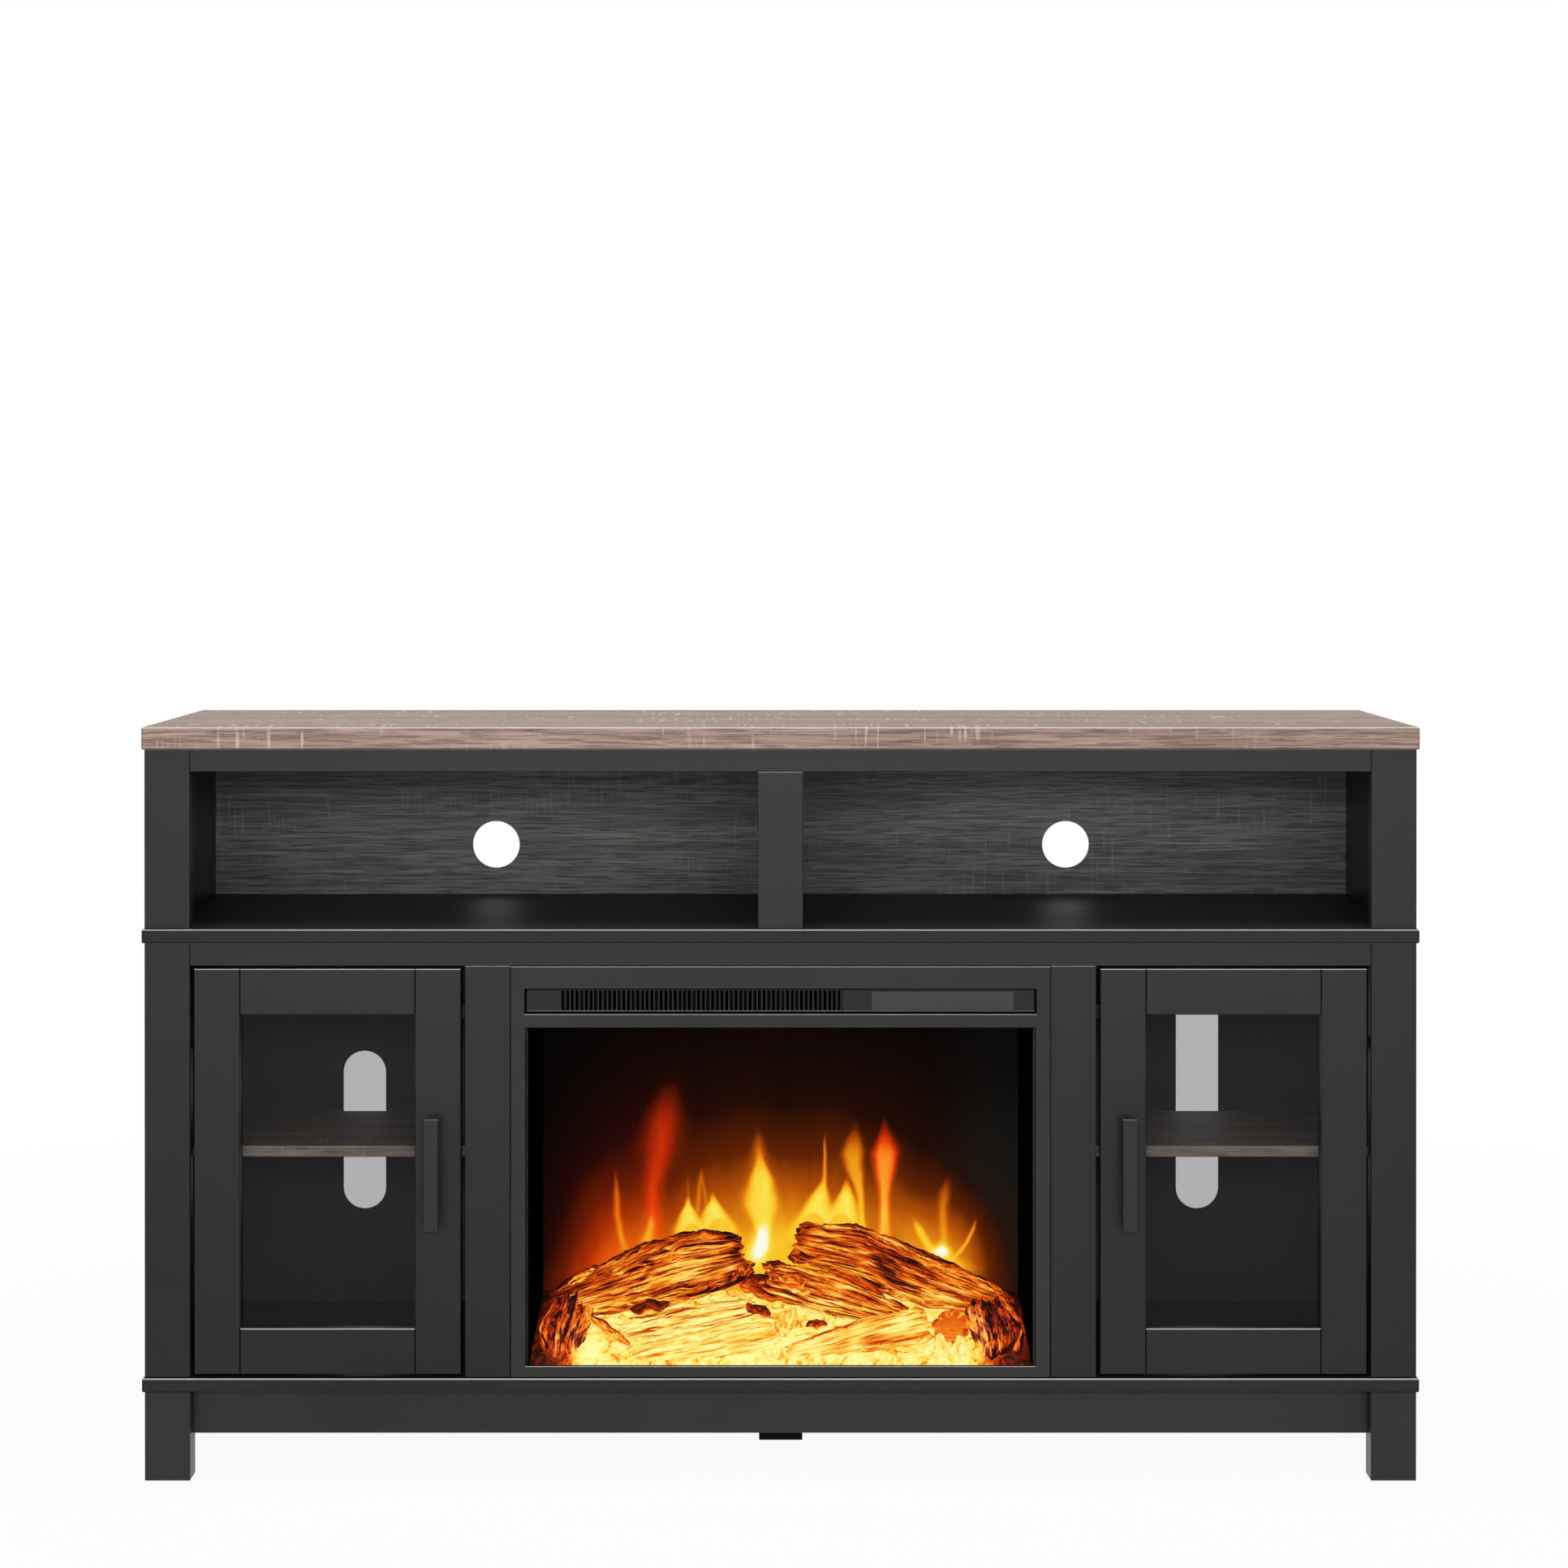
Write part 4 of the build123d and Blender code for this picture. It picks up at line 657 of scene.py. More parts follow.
def flame_panel():
    """The flame screen with its lit picture, whose tongues stand out a little."""
    columns = int((screen_high[0] - screen_low[0]) / PICTURE_STEP)
    rows = int((screen_high[2] - screen_low[2]) / PICTURE_STEP)
    across, up = np.meshgrid(np.linspace(screen_low[0], screen_high[0], columns),
                             np.linspace(screen_low[2], screen_high[2], rows))
    heat, red, cool, shape = fire_picture(across, up - HEARTH)
    relief = screen_low[1] - PICTURE_RELIEF * smooth(shape, *RELIEF_RANGE)
    face = np.stack([across, relief, up], -1).reshape(-1, 3)
    rear = screen_high[1]
    back = [(screen_low[0], rear, screen_low[2]), (screen_high[0], rear, screen_low[2]),
            (screen_high[0], rear, screen_high[2]), (screen_low[0], rear, screen_high[2])]
    values = {key: np.concatenate([numbers.ravel(), np.zeros(len(back))])
              for key, numbers in (("warmth", heat), ("redness", red), ("coolness", cool))}
    piece("flame_panel", np.concatenate([face, back]), slab_faces(rows, columns), values, flame_paint(),
          ["flame_screen"])


flame_panel()

# Resins of the embers and logs: colour of the crust, colour of ash on it, features per metre, contrast
BARK_GRAIN = (26.0, 430.0, 430.0)
RUBBLE_GRAIN = (95.0, 95.0, 95.0)
CHAR_GRAIN = (45.0, 150.0, 150.0)
log_resin = ember_paint("log_resin", (0.010, 0.004, 0.002), (0.022, 0.013, 0.009), BARK_GRAIN, 0.23)
pale_resin = ember_paint("pale_resin", (0.02, 0.009, 0.004), (0.03, 0.017, 0.009), BARK_GRAIN, 0.125)
stub_resin = ember_paint("stub_resin", (0.02, 0.009, 0.004), (0.03, 0.017, 0.010), BARK_GRAIN, 0.05)
ember_resin = ember_paint("ember_resin", (0.03, 0.014, 0.006), (0.05, 0.028, 0.012), RUBBLE_GRAIN, 0.075)
char_resin = ember_paint("char_resin", (0.008, 0.006, 0.006), (0.035, 0.042, 0.055), CHAR_GRAIN, 0.24)

# Heat by the height over the hearth, and how it falls towards the ends of the hearth
HEIGHTS = (0, 20, 40, 62, 85, 110, 135, 165)
HEATS = (1.10, 1.06, 1.00, 0.87, 0.72, 0.65, 0.63, 0.60)
MIDDLE_HEAT = 0.75
SIDE_COOLING, SIDE_RANGE = 0.40, (205, 262)


def ember_heat(x, h, level=MIDDLE_HEAT, slope=1.0):
    """The light from below at a place: hottest low in the middle, and charred towards the ends."""
    heat = level + slope * (np.interp(h, HEIGHTS, HEATS) - MIDDLE_HEAT)
    return heat * (1 - SIDE_COOLING * smooth(np.abs(x), *SIDE_RANGE))


# Each log: points of its axis as shares of the screen's half width, the bed's depth and the bed's height at
# the back, each with its radius as a share of LOG_RADIUS, then how far its ends are torn in millimetres, how
# lumpy it is, its heat, a seed and its material
LOG_RADIUS = 34.0
LOGS = {
    "log_back_left": (((-0.93, 0.60, 0.92, 0.50), (-0.68, 0.63, 1.20, 0.84), (-0.42, 0.63, 1.50, 1.04),
                       (-0.17, 0.63, 1.70, 0.76)), 15.0, 0.10, 0.61, 11, log_resin),
    "log_back_right": (((0.075, 0.69, 1.92, 0.66), (0.32, 0.69, 1.73, 0.82), (0.54, 0.69, 1.38, 0.82),
                        (0.76, 0.67, 1.10, 0.60), (0.95, 0.64, 0.90, 0.34)), 8.0, 0.10, 0.60, 12, log_resin),
    "log_middle": (((-0.05, 0.44, 1.42, 0.54), (0.18, 0.46, 1.16, 0.60), (0.50, 0.50, 0.74, 0.40)),
                   10.0, 0.14, 0.68, 13, log_resin),
    "log_bark_left": (((-0.64, 0.34, 0.56, 0.36), (-0.40, 0.36, 0.74, 0.42), (-0.12, 0.40, 0.92, 0.30)),
                      6.0, 0.10, 1.00, 14, log_resin),
    "log_front_left": (((-0.62, 0.18, 0.14, 0.42), (-0.32, 0.21, 0.34, 0.56), (-0.02, 0.26, 0.58, 0.48)),
                       6.0, 0.10, 0.99, 19, pale_resin),
    "log_front_right": (((0.03, 0.18, 0.22, 0.36), (0.30, 0.24, 0.46, 0.52), (0.60, 0.32, 0.68, 0.56)),
                        6.0, 0.10, 0.87, 15, pale_resin),
    "log_stub_right": (((0.73, 0.50, 0.60, 0.56), (0.70, 0.09, 0.72, 0.54)), 3.0, 0.22, 0.64, 16, stub_resin),
    "log_end_right": (((0.91, 0.20, 0.05, 0.60), (0.90, 0.30, 0.45, 0.76), (0.86, 0.52, 0.96, 0.62)),
                      9.0, 0.26, 0.52, 17, char_resin),
    "log_end_left": (((-0.91, 0.20, 0.05, 0.58), (-0.90, 0.30, 0.45, 0.72), (-0.86, 0.52, 0.96, 0.56)),
                     9.0, 0.24, 0.64, 18, char_resin),
}
LOG_SET_STAND_IN = "log_back_left"
LOG_STEP = 1.4
LOG_SLOPE = 0.30
# Logs stay over the bed, with a little room to the screen, the glass and the liners
LOG_ROOM_LOW = bed_low + np.array((4.0, 1.0, 0.5))
LOG_ROOM_HIGH = np.array((bed_high[0] - 4.0, bed_high[1] - 0.5, screen_high[2]))

# Noises of the bark: length of a feature along the log and across it in millimetres, two shifts, step of seed
LUMPS, KNOTS, RIDGES = (30, 19, 9, 4, 0), (14, 10, 3, 8, 40), (52, 6.5, 11, 5, 80)
HAIRS, CRACKS = (30, 3.0, 2, 7, 120), (9, 10, 6, 1, 160)
GRAIN_TWIST, KNOT_SHARE = 0.25, 0.5
# Teeth on the upper side: length, features around, shifts, step of seed and mean height
TOOTH_LENGTH, TOOTH_ROUND, TOOTH_SHIFTS, TOOTH_SEED, TOOTH_LEVEL = 6, 1.5, (2, 6), 360, 0.3
# Relief of ridges, grooves and teeth as shares of the radius, and of hairs and cracks in millimetres
RIDGE_HEIGHT, GROOVE_DEPTH, TOOTH_HEIGHT = 0.1364, 0.0806, 0.07
HAIR_HEIGHT, HAIRLINE_DEPTH, CRACK_DEPTH = 0.7, 0.8, 1.0
# The ends draw in to this share of the girth over this length, and this share of a log is pulled ragged
END_GIRTH, END_LENGTH, RAGGED_END = 0.86, 8, 0.25
# Ragged line of the ends: features around, two shifts and step of seed, and the share of each
RAGGED, RAGGED_SHARE = ((2.2, 5, 3, 200), (7, 9, 9, 240)), 0.7
# How far torn an end is, in millimetres, for splinters, for a charred rim and for a charred end
SPLINTERED, RIM_CHARRED, END_CHARRED = (2, 6), (3, 8), (5, 9)
# Caps on the ends: ring width, least rings, innermost ring, width of the rim and depth of the hollow
CAP_STEP, CAP_LEAST, CAP_INNER, CAP_RIM, CAP_HOLLOW = 2.4, 6, 0.12, 0.2, 3
COARSE_HEIGHT, COARSE_SIZE, COARSE_SEED = 1.6, 5, 280
SPLINT_HEIGHT, SPLINT_SIZES, SPLINT_SLICE, SPLINT_SEED = 1.3, (2.2, 7), 3, 320
# Steps in millimetres that give each log its own stretch of the grain
SKIN_GRAIN_STEP, CAP_GRAIN_STEP = 97, 41


def log_path(points):
    """Points of a log's axis in millimetres, and its radius at each."""
    shares = np.array(points, float)
    places = np.stack([shares[:, 0] * SCREEN_HALF, bed_low[1] + shares[:, 1] * BED_DEPTH,
                       HEARTH + shares[:, 2] * BED_BACK_HEIGHT], -1)
    return places, shares[:, 3] * LOG_RADIUS


def smooth_run(value, places, numbers):
    """Numbers at places joined by smooth runs."""
    step = np.clip(np.searchsorted(places, value, side="right") - 1, 0, len(places) - 2)
    slopes = np.gradient(numbers, places)
    width = places[step + 1] - places[step]
    t = np.clip((value - places[step]) / width, 0, 1)
    return ((2 * t ** 3 - 3 * t ** 2 + 1) * numbers[step] + (t ** 3 - 2 * t ** 2 + t) * width * slopes[step]
            + (3 * t ** 2 - 2 * t ** 3) * numbers[step + 1] + (t ** 3 - t ** 2) * width * slopes[step + 1])


class Log:
    """A log with long bark ridges, cracks across them and broken ends, glowing in its grooves."""

    def __init__(self, points, torn, lumpy, level, seed):
        self.torn, self.level, self.seed = torn, level, seed
        places, radii = log_path(points)
        offsets = places - places[0]
        self.start, self.radius = places[0], radii.max()
        length = np.linalg.norm(offsets[-1])
        self.axis = offsets[-1] / length
        self.side = np.cross(self.axis, (0, 0, 1))
        self.side /= np.linalg.norm(self.side)
        self.rise = np.cross(self.side, self.axis)
        self.rows, self.columns = int(length / LOG_STEP), int(FULL_TURN * self.radius / LOG_STEP)
        self.turn, self.reach = np.meshgrid(np.linspace(0, FULL_TURN, self.columns, endpoint=False),
                                            np.linspace(0, length, self.rows))
        self.cosine, self.sine = np.cos(self.turn), np.sin(self.turn)
        self.from_end = np.minimum(self.reach, length - self.reach)
        marks = offsets @ self.axis
        self.girth, self.sway, self.lift = [smooth_run(self.reach, marks, numbers) for numbers in
                                            (radii, offsets @ self.side, offsets @ self.rise)]
        self.carve(lumpy)
        share = self.reach / length
        ends = smooth(share, 1 - RAGGED_END, 1.0) - smooth(1 - share, 1 - RAGGED_END, 1.0)
        self.pulled = self.reach + self.ragged() * ends

    def noise(self, facts, out, turn):
        """Noise on the skin at a distance from the axis, from facts as above."""
        along, across, shift_side, shift_rise, step = facts
        return smooth_noise(self.seed + step, self.reach / along, out * np.cos(turn) / across + shift_side,
                            out * np.sin(turn) / across + shift_rise)

    def carve(self, lumpy):
        """Gives the girth its lumps, ridges, hairlines, cracks and teeth."""
        self.lump = self.noise(LUMPS, self.girth, self.turn)
        knot = self.noise(KNOTS, self.girth, self.turn)
        twisted = self.turn + GRAIN_TWIST * self.lump
        ridge, hair = [self.noise(facts, self.radius, twisted) for facts in (RIDGES, HAIRS)]
        cross = self.noise(CRACKS, self.girth, self.turn)
        tooth = np.abs(smooth_noise(self.seed + TOOTH_SEED, self.reach / TOOTH_LENGTH + knot,
                                    self.cosine * 0 + TOOTH_SHIFTS[0],
                                    self.sine * TOOTH_ROUND + TOOTH_SHIFTS[1]))
        self.ridge = ridge * ridge
        self.groove = 1 - smooth(np.abs(ridge), low=0.02, high=0.26)
        self.hairline = 1 - smooth(np.abs(hair), low=0.02, high=0.30)
        self.crack = (1 - smooth(np.abs(cross), low=0.0, high=0.10)) * smooth(knot, low=0.0, high=0.4)
        self.upper = smooth(self.cosine * self.side[2] + self.sine * self.rise[2], low=0.45, high=0.95)
        swollen = self.girth * (1 + lumpy * self.lump + KNOT_SHARE * lumpy * knot)
        ridged = summed(((RIDGE_HEIGHT, self.ridge), (-GROOVE_DEPTH, self.groove),
                         (TOOTH_HEIGHT, self.upper * (tooth - TOOTH_LEVEL))))
        fine = summed(((HAIR_HEIGHT, hair), (-HAIRLINE_DEPTH, self.hairline), (-CRACK_DEPTH, self.crack)))
        narrowing = END_GIRTH + (1 - END_GIRTH) * smooth(self.from_end, 0, END_LENGTH)
        self.girth = (swollen + self.radius * ridged + fine) * narrowing

    def ragged(self):
        """How far each line of the skin is pulled out or in at an end."""
        still = self.reach * 0 + self.seed
        lines = [smooth_noise(self.seed + step, still, size * self.cosine + shift_side,
                              size * self.sine + shift_rise) for size, shift_side, shift_rise, step in RAGGED]
        return self.torn * RAGGED_SHARE * sum(lines)

    def spot(self, distance, out, row):
        """Places at a distance along the log and out from its axis, kept in the room that logs have."""
        found = (self.start + distance[..., None] * self.axis
                 + (out * self.cosine[row] + self.sway[row])[..., None] * self.side
                 + (out * self.sine[row] + self.lift[row])[..., None] * self.rise)
        return np.clip(found, LOG_ROOM_LOW, LOG_ROOM_HIGH)

    def skin(self):
        """Places, heats and grain of the skin."""
        places = self.spot(self.pulled, self.girth, slice(None))
        backward = 1 - smooth(-(self.cosine * self.side[1] + self.sine * self.rise[1]), low=-0.12, high=0.24)
        outermost = 1 - smooth(self.from_end, low=2, high=14)
        changes = ((0.14, self.groove), (0.06, self.hairline), (0.10, self.crack), (0.10, self.lump),
                   (0.10, self.upper), (-0.16, smooth(self.ridge, low=0.05, high=0.30)),
                   (-0.36, backward * smooth(self.torn, *SPLINTERED)),
                   (-0.24, outermost * smooth(self.torn, *END_CHARRED)))
        heat = ember_heat(places[..., 0], places[..., 2] - HEARTH, self.level, LOG_SLOPE) + summed(changes)
        grain = np.stack([self.reach, self.radius * self.cosine,
                          self.radius * self.sine + SKIN_GRAIN_STEP * self.seed], -1)
        return places, heat, grain

    def cap(self, row, sign):
        """Places, heats and grain of one broken end, ring by ring from the rim inwards."""
        rings = max(CAP_LEAST, int(self.radius / CAP_STEP))
        share = np.linspace(1, CAP_INNER, rings + 1)[1:, None]
        out = share * self.girth[row]
        side, rise = out * self.cosine[row], out * self.sine[row]
        coarse = smooth_noise(self.seed + COARSE_SEED, side / COARSE_SIZE, rise / COARSE_SIZE,
                              out * 0 + self.seed)
        splint = smooth_noise(self.seed + SPLINT_SEED, side / SPLINT_SIZES[0], rise / SPLINT_SIZES[1],
                              out * 0 + SPLINT_SLICE) * smooth(self.torn, *SPLINTERED)
        rough = (COARSE_HEIGHT * coarse + SPLINT_HEIGHT * splint) * smooth(1 - share, 0.0, CAP_RIM)
        distance = self.pulled[row] * share + self.pulled[row].mean() * (1 - share)
        distance = distance + sign * (rough - CAP_HOLLOW * (1 - share))
        places = self.spot(distance, out, row)
        height = places[..., 2]
        changes = ((0.10, splint), (-0.003, height - height.mean()), (-0.10, smooth(self.torn, *END_CHARRED)),
                   (-0.24, smooth(share, low=0.78, high=1.0) * smooth(self.torn, *RIM_CHARRED)))
        heat = ember_heat(places[..., 0], height - HEARTH, self.level, LOG_SLOPE) + summed(changes)
        return places, heat, np.stack([side, rise, distance + CAP_GRAIN_STEP * self.seed], -1)

    def build(self, name, material):
        """Makes the piece from the skin, the two caps and a point in the middle of each."""
        index = numbered(self.rows, self.columns)
        faces = grid_faces(closed(index))
        layers, tips = [self.skin()], []
        total = index.size
        for row, sign in ((0, -1), (self.rows - 1, 1)):
            places, heat, grain = self.cap(row, sign)
            rim = closed(np.concatenate([index[row:row + 1], numbered(*heat.shape, total)]))
            faces += grid_faces(rim)
            layers.append((places, heat, grain))
            tips.append((rim[-1].tolist(), (places[-1].mean(0), heat[-1].mean(), grain[-1, -1])))
            total += heat.size
        for rim, middle in tips:
            layers.append(middle)
            faces += [(first, second, total) for first, second in zip(rim[:-1], rim[1:])]
            total += 1
        points, heats, grains = zip(*layers)
        values = {"warmth": np.clip(np.concatenate([np.ravel(heat) for heat in heats]), 0.0, HEAT_TOP),
                  "bark": np.concatenate([grain.reshape(-1, 3) for grain in grains]) * MM}
        piece(name, np.concatenate([places.reshape(-1, 3) for places in points]), faces, values, material,
              ["log_set"] if name == LOG_SET_STAND_IN else [])


for name, (*facts, material) in LOGS.items():
    Log(*facts).build(name, material)

# Charred chips and glowing kindling on the logs: the middle in shares as for the logs, length in millimetres,
# tilt in radians, half thickness in millimetres, heat and a seed
CHIPS = {
    "chip_left": ((-0.542, 0.364, 0.97), 44, 0.14, 6.5, 0.36, 31),
    "chip_middle": ((-0.092, 0.293, 0.93), 30, -0.38, 7.0, 0.40, 32),
    "chip_right": ((0.149, 0.302, 0.69), 24, 0.02, 5.0, 0.50, 33),
    "kindling_upper": ((0.046, 0.29, 1.43), 30, -0.26, 7.0, 0.72, 34),
    "kindling_lower": ((0.075, 0.27, 1.28), 27, -0.20, 6.5, 0.78, 35),
    "kindling_middle": ((0.027, 0.22, 0.76), 34, 1.25, 11.0, 1.0, 36),
    "kindling_left": ((-0.70, 0.21, 0.63), 54, -0.60, 7.5, 0.86, 37),
    "kindling_right": ((0.655, 0.075, 0.40), 30, 1.45, 9.0, 1.16, 38),
    "kindling_end": ((0.735, 0.07, 0.36), 32, 1.75, 9.0, 1.14, 39),
    "kindling_valley": ((-0.035, 0.66, 1.20), 78, -0.10, 15.0, 0.50, 40),
    "kindling_gap": ((0.33, 0.60, 1.20), 62, -0.45, 10.0, 0.62, 41),
}
CHIP_ROWS, CHIP_COLUMNS = 36, 40
# Taper to the tips: two powers and the least half width in millimetres, then the share of height in thickness
CHIP_BELLY, CHIP_BLUNT, CHIP_LEAST, CHIP_FLAT = 2.2, 0.6, 0.4, 0.8
CHIP_LUMPS, CHIP_NICKS, CHIP_BEND = 0.45, 1.1, 2.2
CHIP_GRAIN_STEP = 53
chip_resin = ember_paint("chip_resin", (0.012, 0.006, 0.003), (0.03, 0.018, 0.010), BARK_GRAIN, 0.10)


def chip(name, shares, length, tilt, thick, heat, seed):
    """A splinter of wood with a lumpy, tapering body, darker on its upper side and at its back."""
    turn, along = np.meshgrid(np.linspace(0, FULL_TURN, CHIP_COLUMNS, endpoint=False),
                              np.linspace(-1, 1, CHIP_ROWS))
    cosine, sine = np.cos(turn), np.sin(turn)

    def noise(step, lengthwise, around, shifts):
        return smooth_noise(seed + step, along * lengthwise + shifts[0], cosine * around + shifts[1],
                            sine * around + shifts[1])

    lumps = noise(step=0, lengthwise=2.6, around=1.3, shifts=(7, 4))
    nicks = noise(step=1, lengthwise=3, around=4, shifts=(0, 4))
    patches = noise(step=2, lengthwise=4, around=2, shifts=(0, 9))
    bend = noise(step=3, lengthwise=1.7, around=0, shifts=(3, 0))
    wide = thick * (1 - np.abs(along) ** CHIP_BELLY) ** CHIP_BLUNT + CHIP_LEAST
    wide = wide * (1 + CHIP_LUMPS * lumps) + CHIP_NICKS * (1 - np.abs(along)) * nicks
    x = along * length / 2
    z = CHIP_FLAT * wide * sine + CHIP_BEND * bend
    middle = log_path([shares + (1,)])[0][0]
    points = np.stack([middle[0] + x * math.cos(tilt) - z * math.sin(tilt), middle[1] + wide * cosine,
                       middle[2] + x * math.sin(tilt) + z * math.cos(tilt)], -1)
    points = np.clip(points, LOG_ROOM_LOW, LOG_ROOM_HIGH)
    index = numbered(CHIP_ROWS, CHIP_COLUMNS)
    faces = grid_faces(closed(index)) + [index[0].tolist(), index[-1].tolist()]
    backward = 1 - smooth(-cosine, low=-0.1, high=0.40)
    warmth = heat + summed(((-0.18, sine * math.cos(tilt)), (0.20, patches), (-0.40, backward)))
    grain = np.stack([x, wide * cosine, wide * sine + CHIP_GRAIN_STEP * seed], -1) * MM
    values = {"warmth": np.clip(warmth.ravel(), 0, HEAT_TOP), "bark": grain.reshape(-1, 3)}
    piece(name, points.reshape(-1, 3), faces, values, chip_resin)


for name, facts in CHIPS.items():
    chip(name, *facts)

# The ember bed: hot spots as place across, share of the depth and size
HOT_SPOTS = ((-203, 0.16, 13), (-25, 0.08, 15), (85, 0.10, 14), (10, 0.30, 16), (-60, 0.45, 16),
             (150, 0.30, 14), (-120, 0.30, 15), (182, 0.10, 18))
SPOT_HEAT = 0.30
# Bends of the rubble across and into the bed and its grit, as facts for waves, then facts for its cells
BENDS_ACROSS = ((9, 22, 22, 0, 0, 21), (4, 8, 8, 0, 0, 22))
BENDS_INTO = ((9, 22, 22, 7, 5, 23), (4, 8, 8, 3, 1, 24))
GRIT = (0.6, 4, 4, 0, 0, 7)
COALS, CRUMBS = (30, 17, 30, 3, 5), (9, 7, 9, 2, 6)
COAL_HEIGHT, CRUMB_HEIGHT, BED_SINK = 6.5, 1.8, 6.0
# The rubble lies down at the bed's ends over this length, and at its front over this share of the depth
BED_END, BED_LIP = 12, 0.06
BED_SLOPE, BED_HEAT, FOOT_HEAT = 0.40, 0.05, 0.5
BED_STEP = 1.7


def ember_rubble():
    """Rubble over a sloping base, with hot spots between the lumps."""
    columns = int((bed_high[0] - bed_low[0]) / BED_STEP)
    rows = int(BED_DEPTH / BED_STEP)
    across, into = np.meshgrid(np.linspace(bed_low[0], bed_high[0], columns), np.linspace(0, 1, rows))
    depth = into * BED_DEPTH
    bent_across = across + sum(waves(across, depth, facts) for facts in BENDS_ACROSS)
    bent_into = depth + sum(waves(across, depth, facts) for facts in BENDS_INTO)
    near, following = cells(bent_across, bent_into, COALS)
    small_near, small_following = cells(bent_across, bent_into, CRUMBS)
    lumps = COAL_HEIGHT * (1 - near * near) + CRUMB_HEIGHT * (1 - small_near * small_near)
    from_end = np.minimum(across - bed_low[0], bed_high[0] - across)
    lumps = (lumps + waves(across, depth, GRIT)) * smooth(from_end, 0, BED_END) * smooth(into, 0.0, BED_LIP)
    height = BED_FRONT_HEIGHT + (BED_BACK_HEIGHT - BED_FRONT_HEIGHT) * into - BED_SINK + lumps
    height = np.minimum(height, BED_BACK_HEIGHT)
    coal_gap = 1 - smooth(following - near, low=0.0, high=0.10)
    crumb_gap = 1 - smooth(small_following - small_near, low=0.0, high=0.12)
    corner = smooth(into, low=0.7, high=1.0) * smooth(np.abs(across), low=150, high=240)
    ends = smooth(-across, low=208, high=242) + smooth(across, low=196, high=238)
    heat = ember_heat(across, height * BED_SLOPE) + BED_HEAT
    heat = heat + summed(((-0.30, coal_gap), (-0.12, crumb_gap), (-0.35, corner), (-0.45, ends)))
    for x, share, size in HOT_SPOTS:
        heat = heat + SPOT_HEAT * bell(across, x, size) * bell(depth, share * BED_DEPTH, size)
    face = np.stack([across, bed_low[1] + depth, HEARTH + height], -1).reshape(-1, 3)
    foot = [(bed_low[0], bed_low[1], HEARTH), (bed_high[0], bed_low[1], HEARTH),
            (bed_high[0], bed_high[1], HEARTH), (bed_low[0], bed_high[1], HEARTH)]
    points = np.concatenate([face, foot])
    warmth = np.concatenate([heat.ravel(), np.full(len(foot), FOOT_HEAT)])
    values = {"warmth": np.clip(warmth, 0, HEAT_TOP), "bark": points * MM}
    piece("ember_rubble", points, slab_faces(rows, columns), values, ember_resin,
          ["ember_bed"])


ember_rubble()

# Floor, surroundings and lamps, in metres
FLOOR_RADIUS, FLOOR_SIDES = 7.0, 96
FLOOR_COLOUR, FLOOR_PALE = (0.95, 0.95, 0.95, 1.0), (0.96, 0.96, 0.96, 1.0)
# The floor's own light, from near the cabinet to far from it
FLOOR_NEAR, FLOOR_FAR = 0.8, 2.4
FLOOR_OWN_LIGHT = 0.94
SKY_FILL = 0.18


def seen_directly(net):
    """1 for rays that reach the eye straight, by a mirror or through glass, and 0 for the rest."""
    path = net.add("LightPath").outputs
    straight = net.reckon("MAXIMUM", path["Is Camera Ray"], path["Is Glossy Ray"])
    return net.reckon("MAXIMUM", straight, path["Is Transmission Ray"])


world = bpy.data.worlds.new("studio")
world.use_nodes = True
scene.world = world
sky = Net(world.node_tree)
sky.tree.nodes.clear()
white = sky.add("Background", {"Color": WHITE, "Strength": 1.0})
fill = sky.add("Background", {"Color": WHITE, "Strength": SKY_FILL})
either = sky.add("MixShader", {0: seen_directly(sky), 1: fill.outputs[0], 2: white.outputs[0]})
sky.add("OutputWorld", {"Surface": either.outputs[0]})


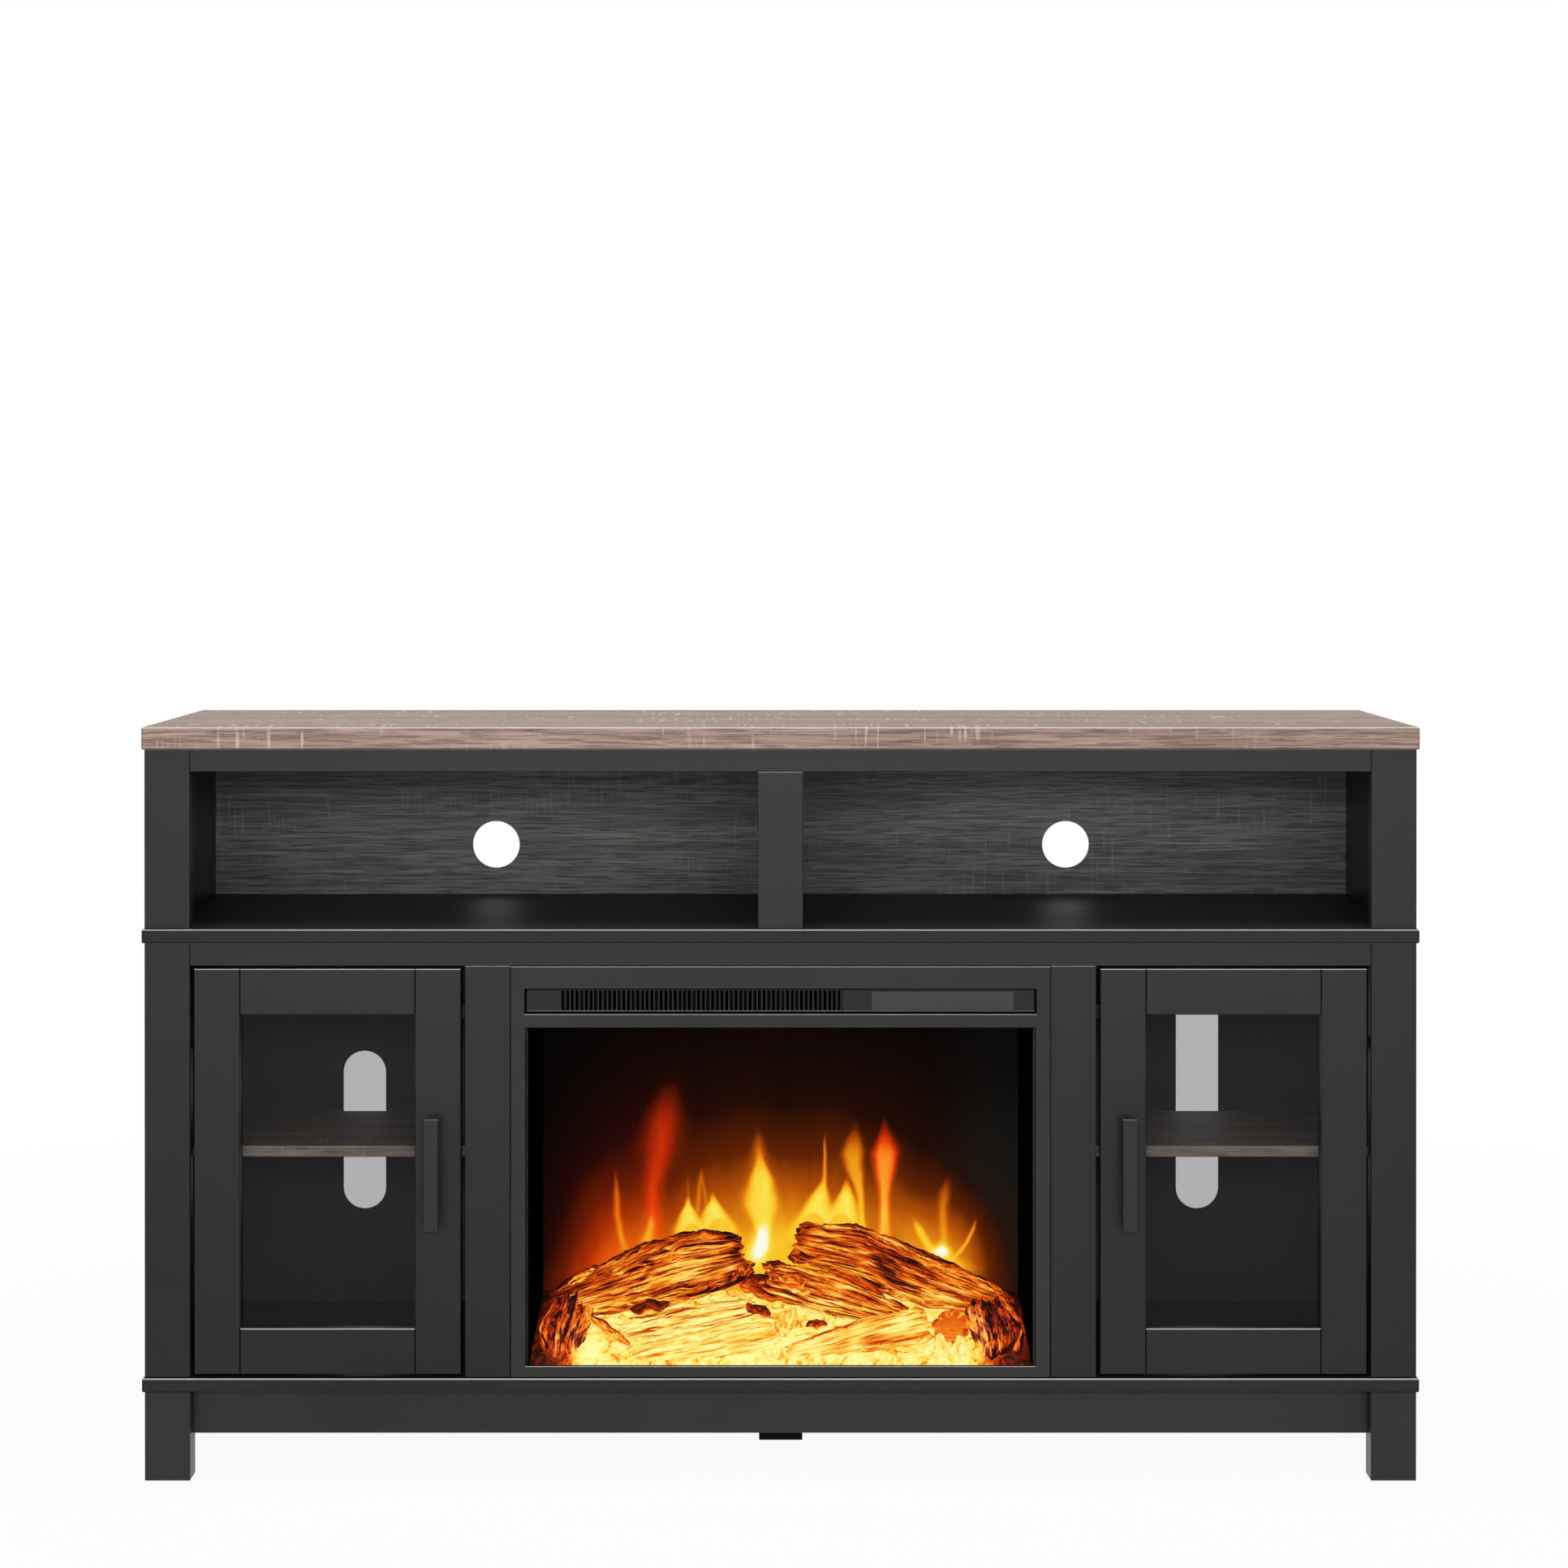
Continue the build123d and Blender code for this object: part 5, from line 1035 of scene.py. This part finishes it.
def floor_paint():
    """A pale floor that fades into the white surroundings."""
    paint = Paint("pale_floor", roughness=0.9, specular=0.1)
    cloud = paint.noise(stretch=(0.8, 0.8, 0.8), detail=2.0)
    paint.set(**{"Base Color": paint.mix(cloud, FLOOR_COLOUR, FLOOR_PALE)})
    own = paint.add("Emission", {"Color": WHITE, "Strength": 1.0})
    distance = paint.add("VectorMath", {0: paint.place}, operation="LENGTH").outputs["Value"]
    whiteness = paint.band(distance, FLOOR_NEAR, FLOOR_FAR, FLOOR_OWN_LIGHT, 1.0)
    share = paint.times(seen_directly(paint), whiteness)
    paint.show(paint.add("MixShader", {0: share, 1: paint.shader.outputs[0], 2: own.outputs[0]}))
    return paint.material


turns = [FULL_TURN * k / FLOOR_SIDES for k in range(FLOOR_SIDES)]
floor_mesh = bpy.data.meshes.new("floor")
floor_mesh.from_pydata([(FLOOR_RADIUS * math.cos(t), FLOOR_RADIUS * math.sin(t), 0.0) for t in turns], [],
                       [tuple(range(FLOOR_SIDES))])
floor_mesh.materials.append(floor_paint())
floor = bpy.data.objects.new("floor", floor_mesh)
scene.collection.objects.link(floor)

# Lamps: place, aim, width, height and power in watts
LAMPS = {
    "lamp_front": ((0.0, -4.4, 1.35), (0, 0, 0.45), 3.4, 0.40, 57.0),
    "lamp_low": ((0.0, -3.8, 0.30), (0, 0, 0.20), 3.2, 0.30, 13.0),
    "lamp_front_left": ((-2.3, -3.0, 1.5), (0, 0, 0.45), 1.2, 1.2, 6.0),
    "lamp_front_right": ((2.3, -3.0, 1.5), (0, 0, 0.45), 1.2, 1.2, 6.0),
    "lamp_top": ((0.0, -0.4, 2.9), (0, 0.0, 0.6), 3.2, 0.8, 22.0),
    "lamp_strip": ((0.0, -0.9, 2.6), (0, -0.1, 0.6), 3.0, 0.12, 12.0),
}


def lamp(name, place, aim, width, height, power):
    """A soft rectangular lamp that looks at a point."""
    data = bpy.data.lights.new(name, "AREA")
    data.shape = "RECTANGLE"
    data.size, data.size_y, data.energy = width, height, power
    obj = bpy.data.objects.new(name, data)
    obj.location = place
    east, north, up = np.array(aim, float) - np.array(place, float)
    obj.rotation_euler = (math.atan2(math.hypot(east, north), -up), 0, math.atan2(east, -north) + math.pi)
    scene.collection.objects.link(obj)


for name, facts in LAMPS.items():
    lamp(name, *facts)
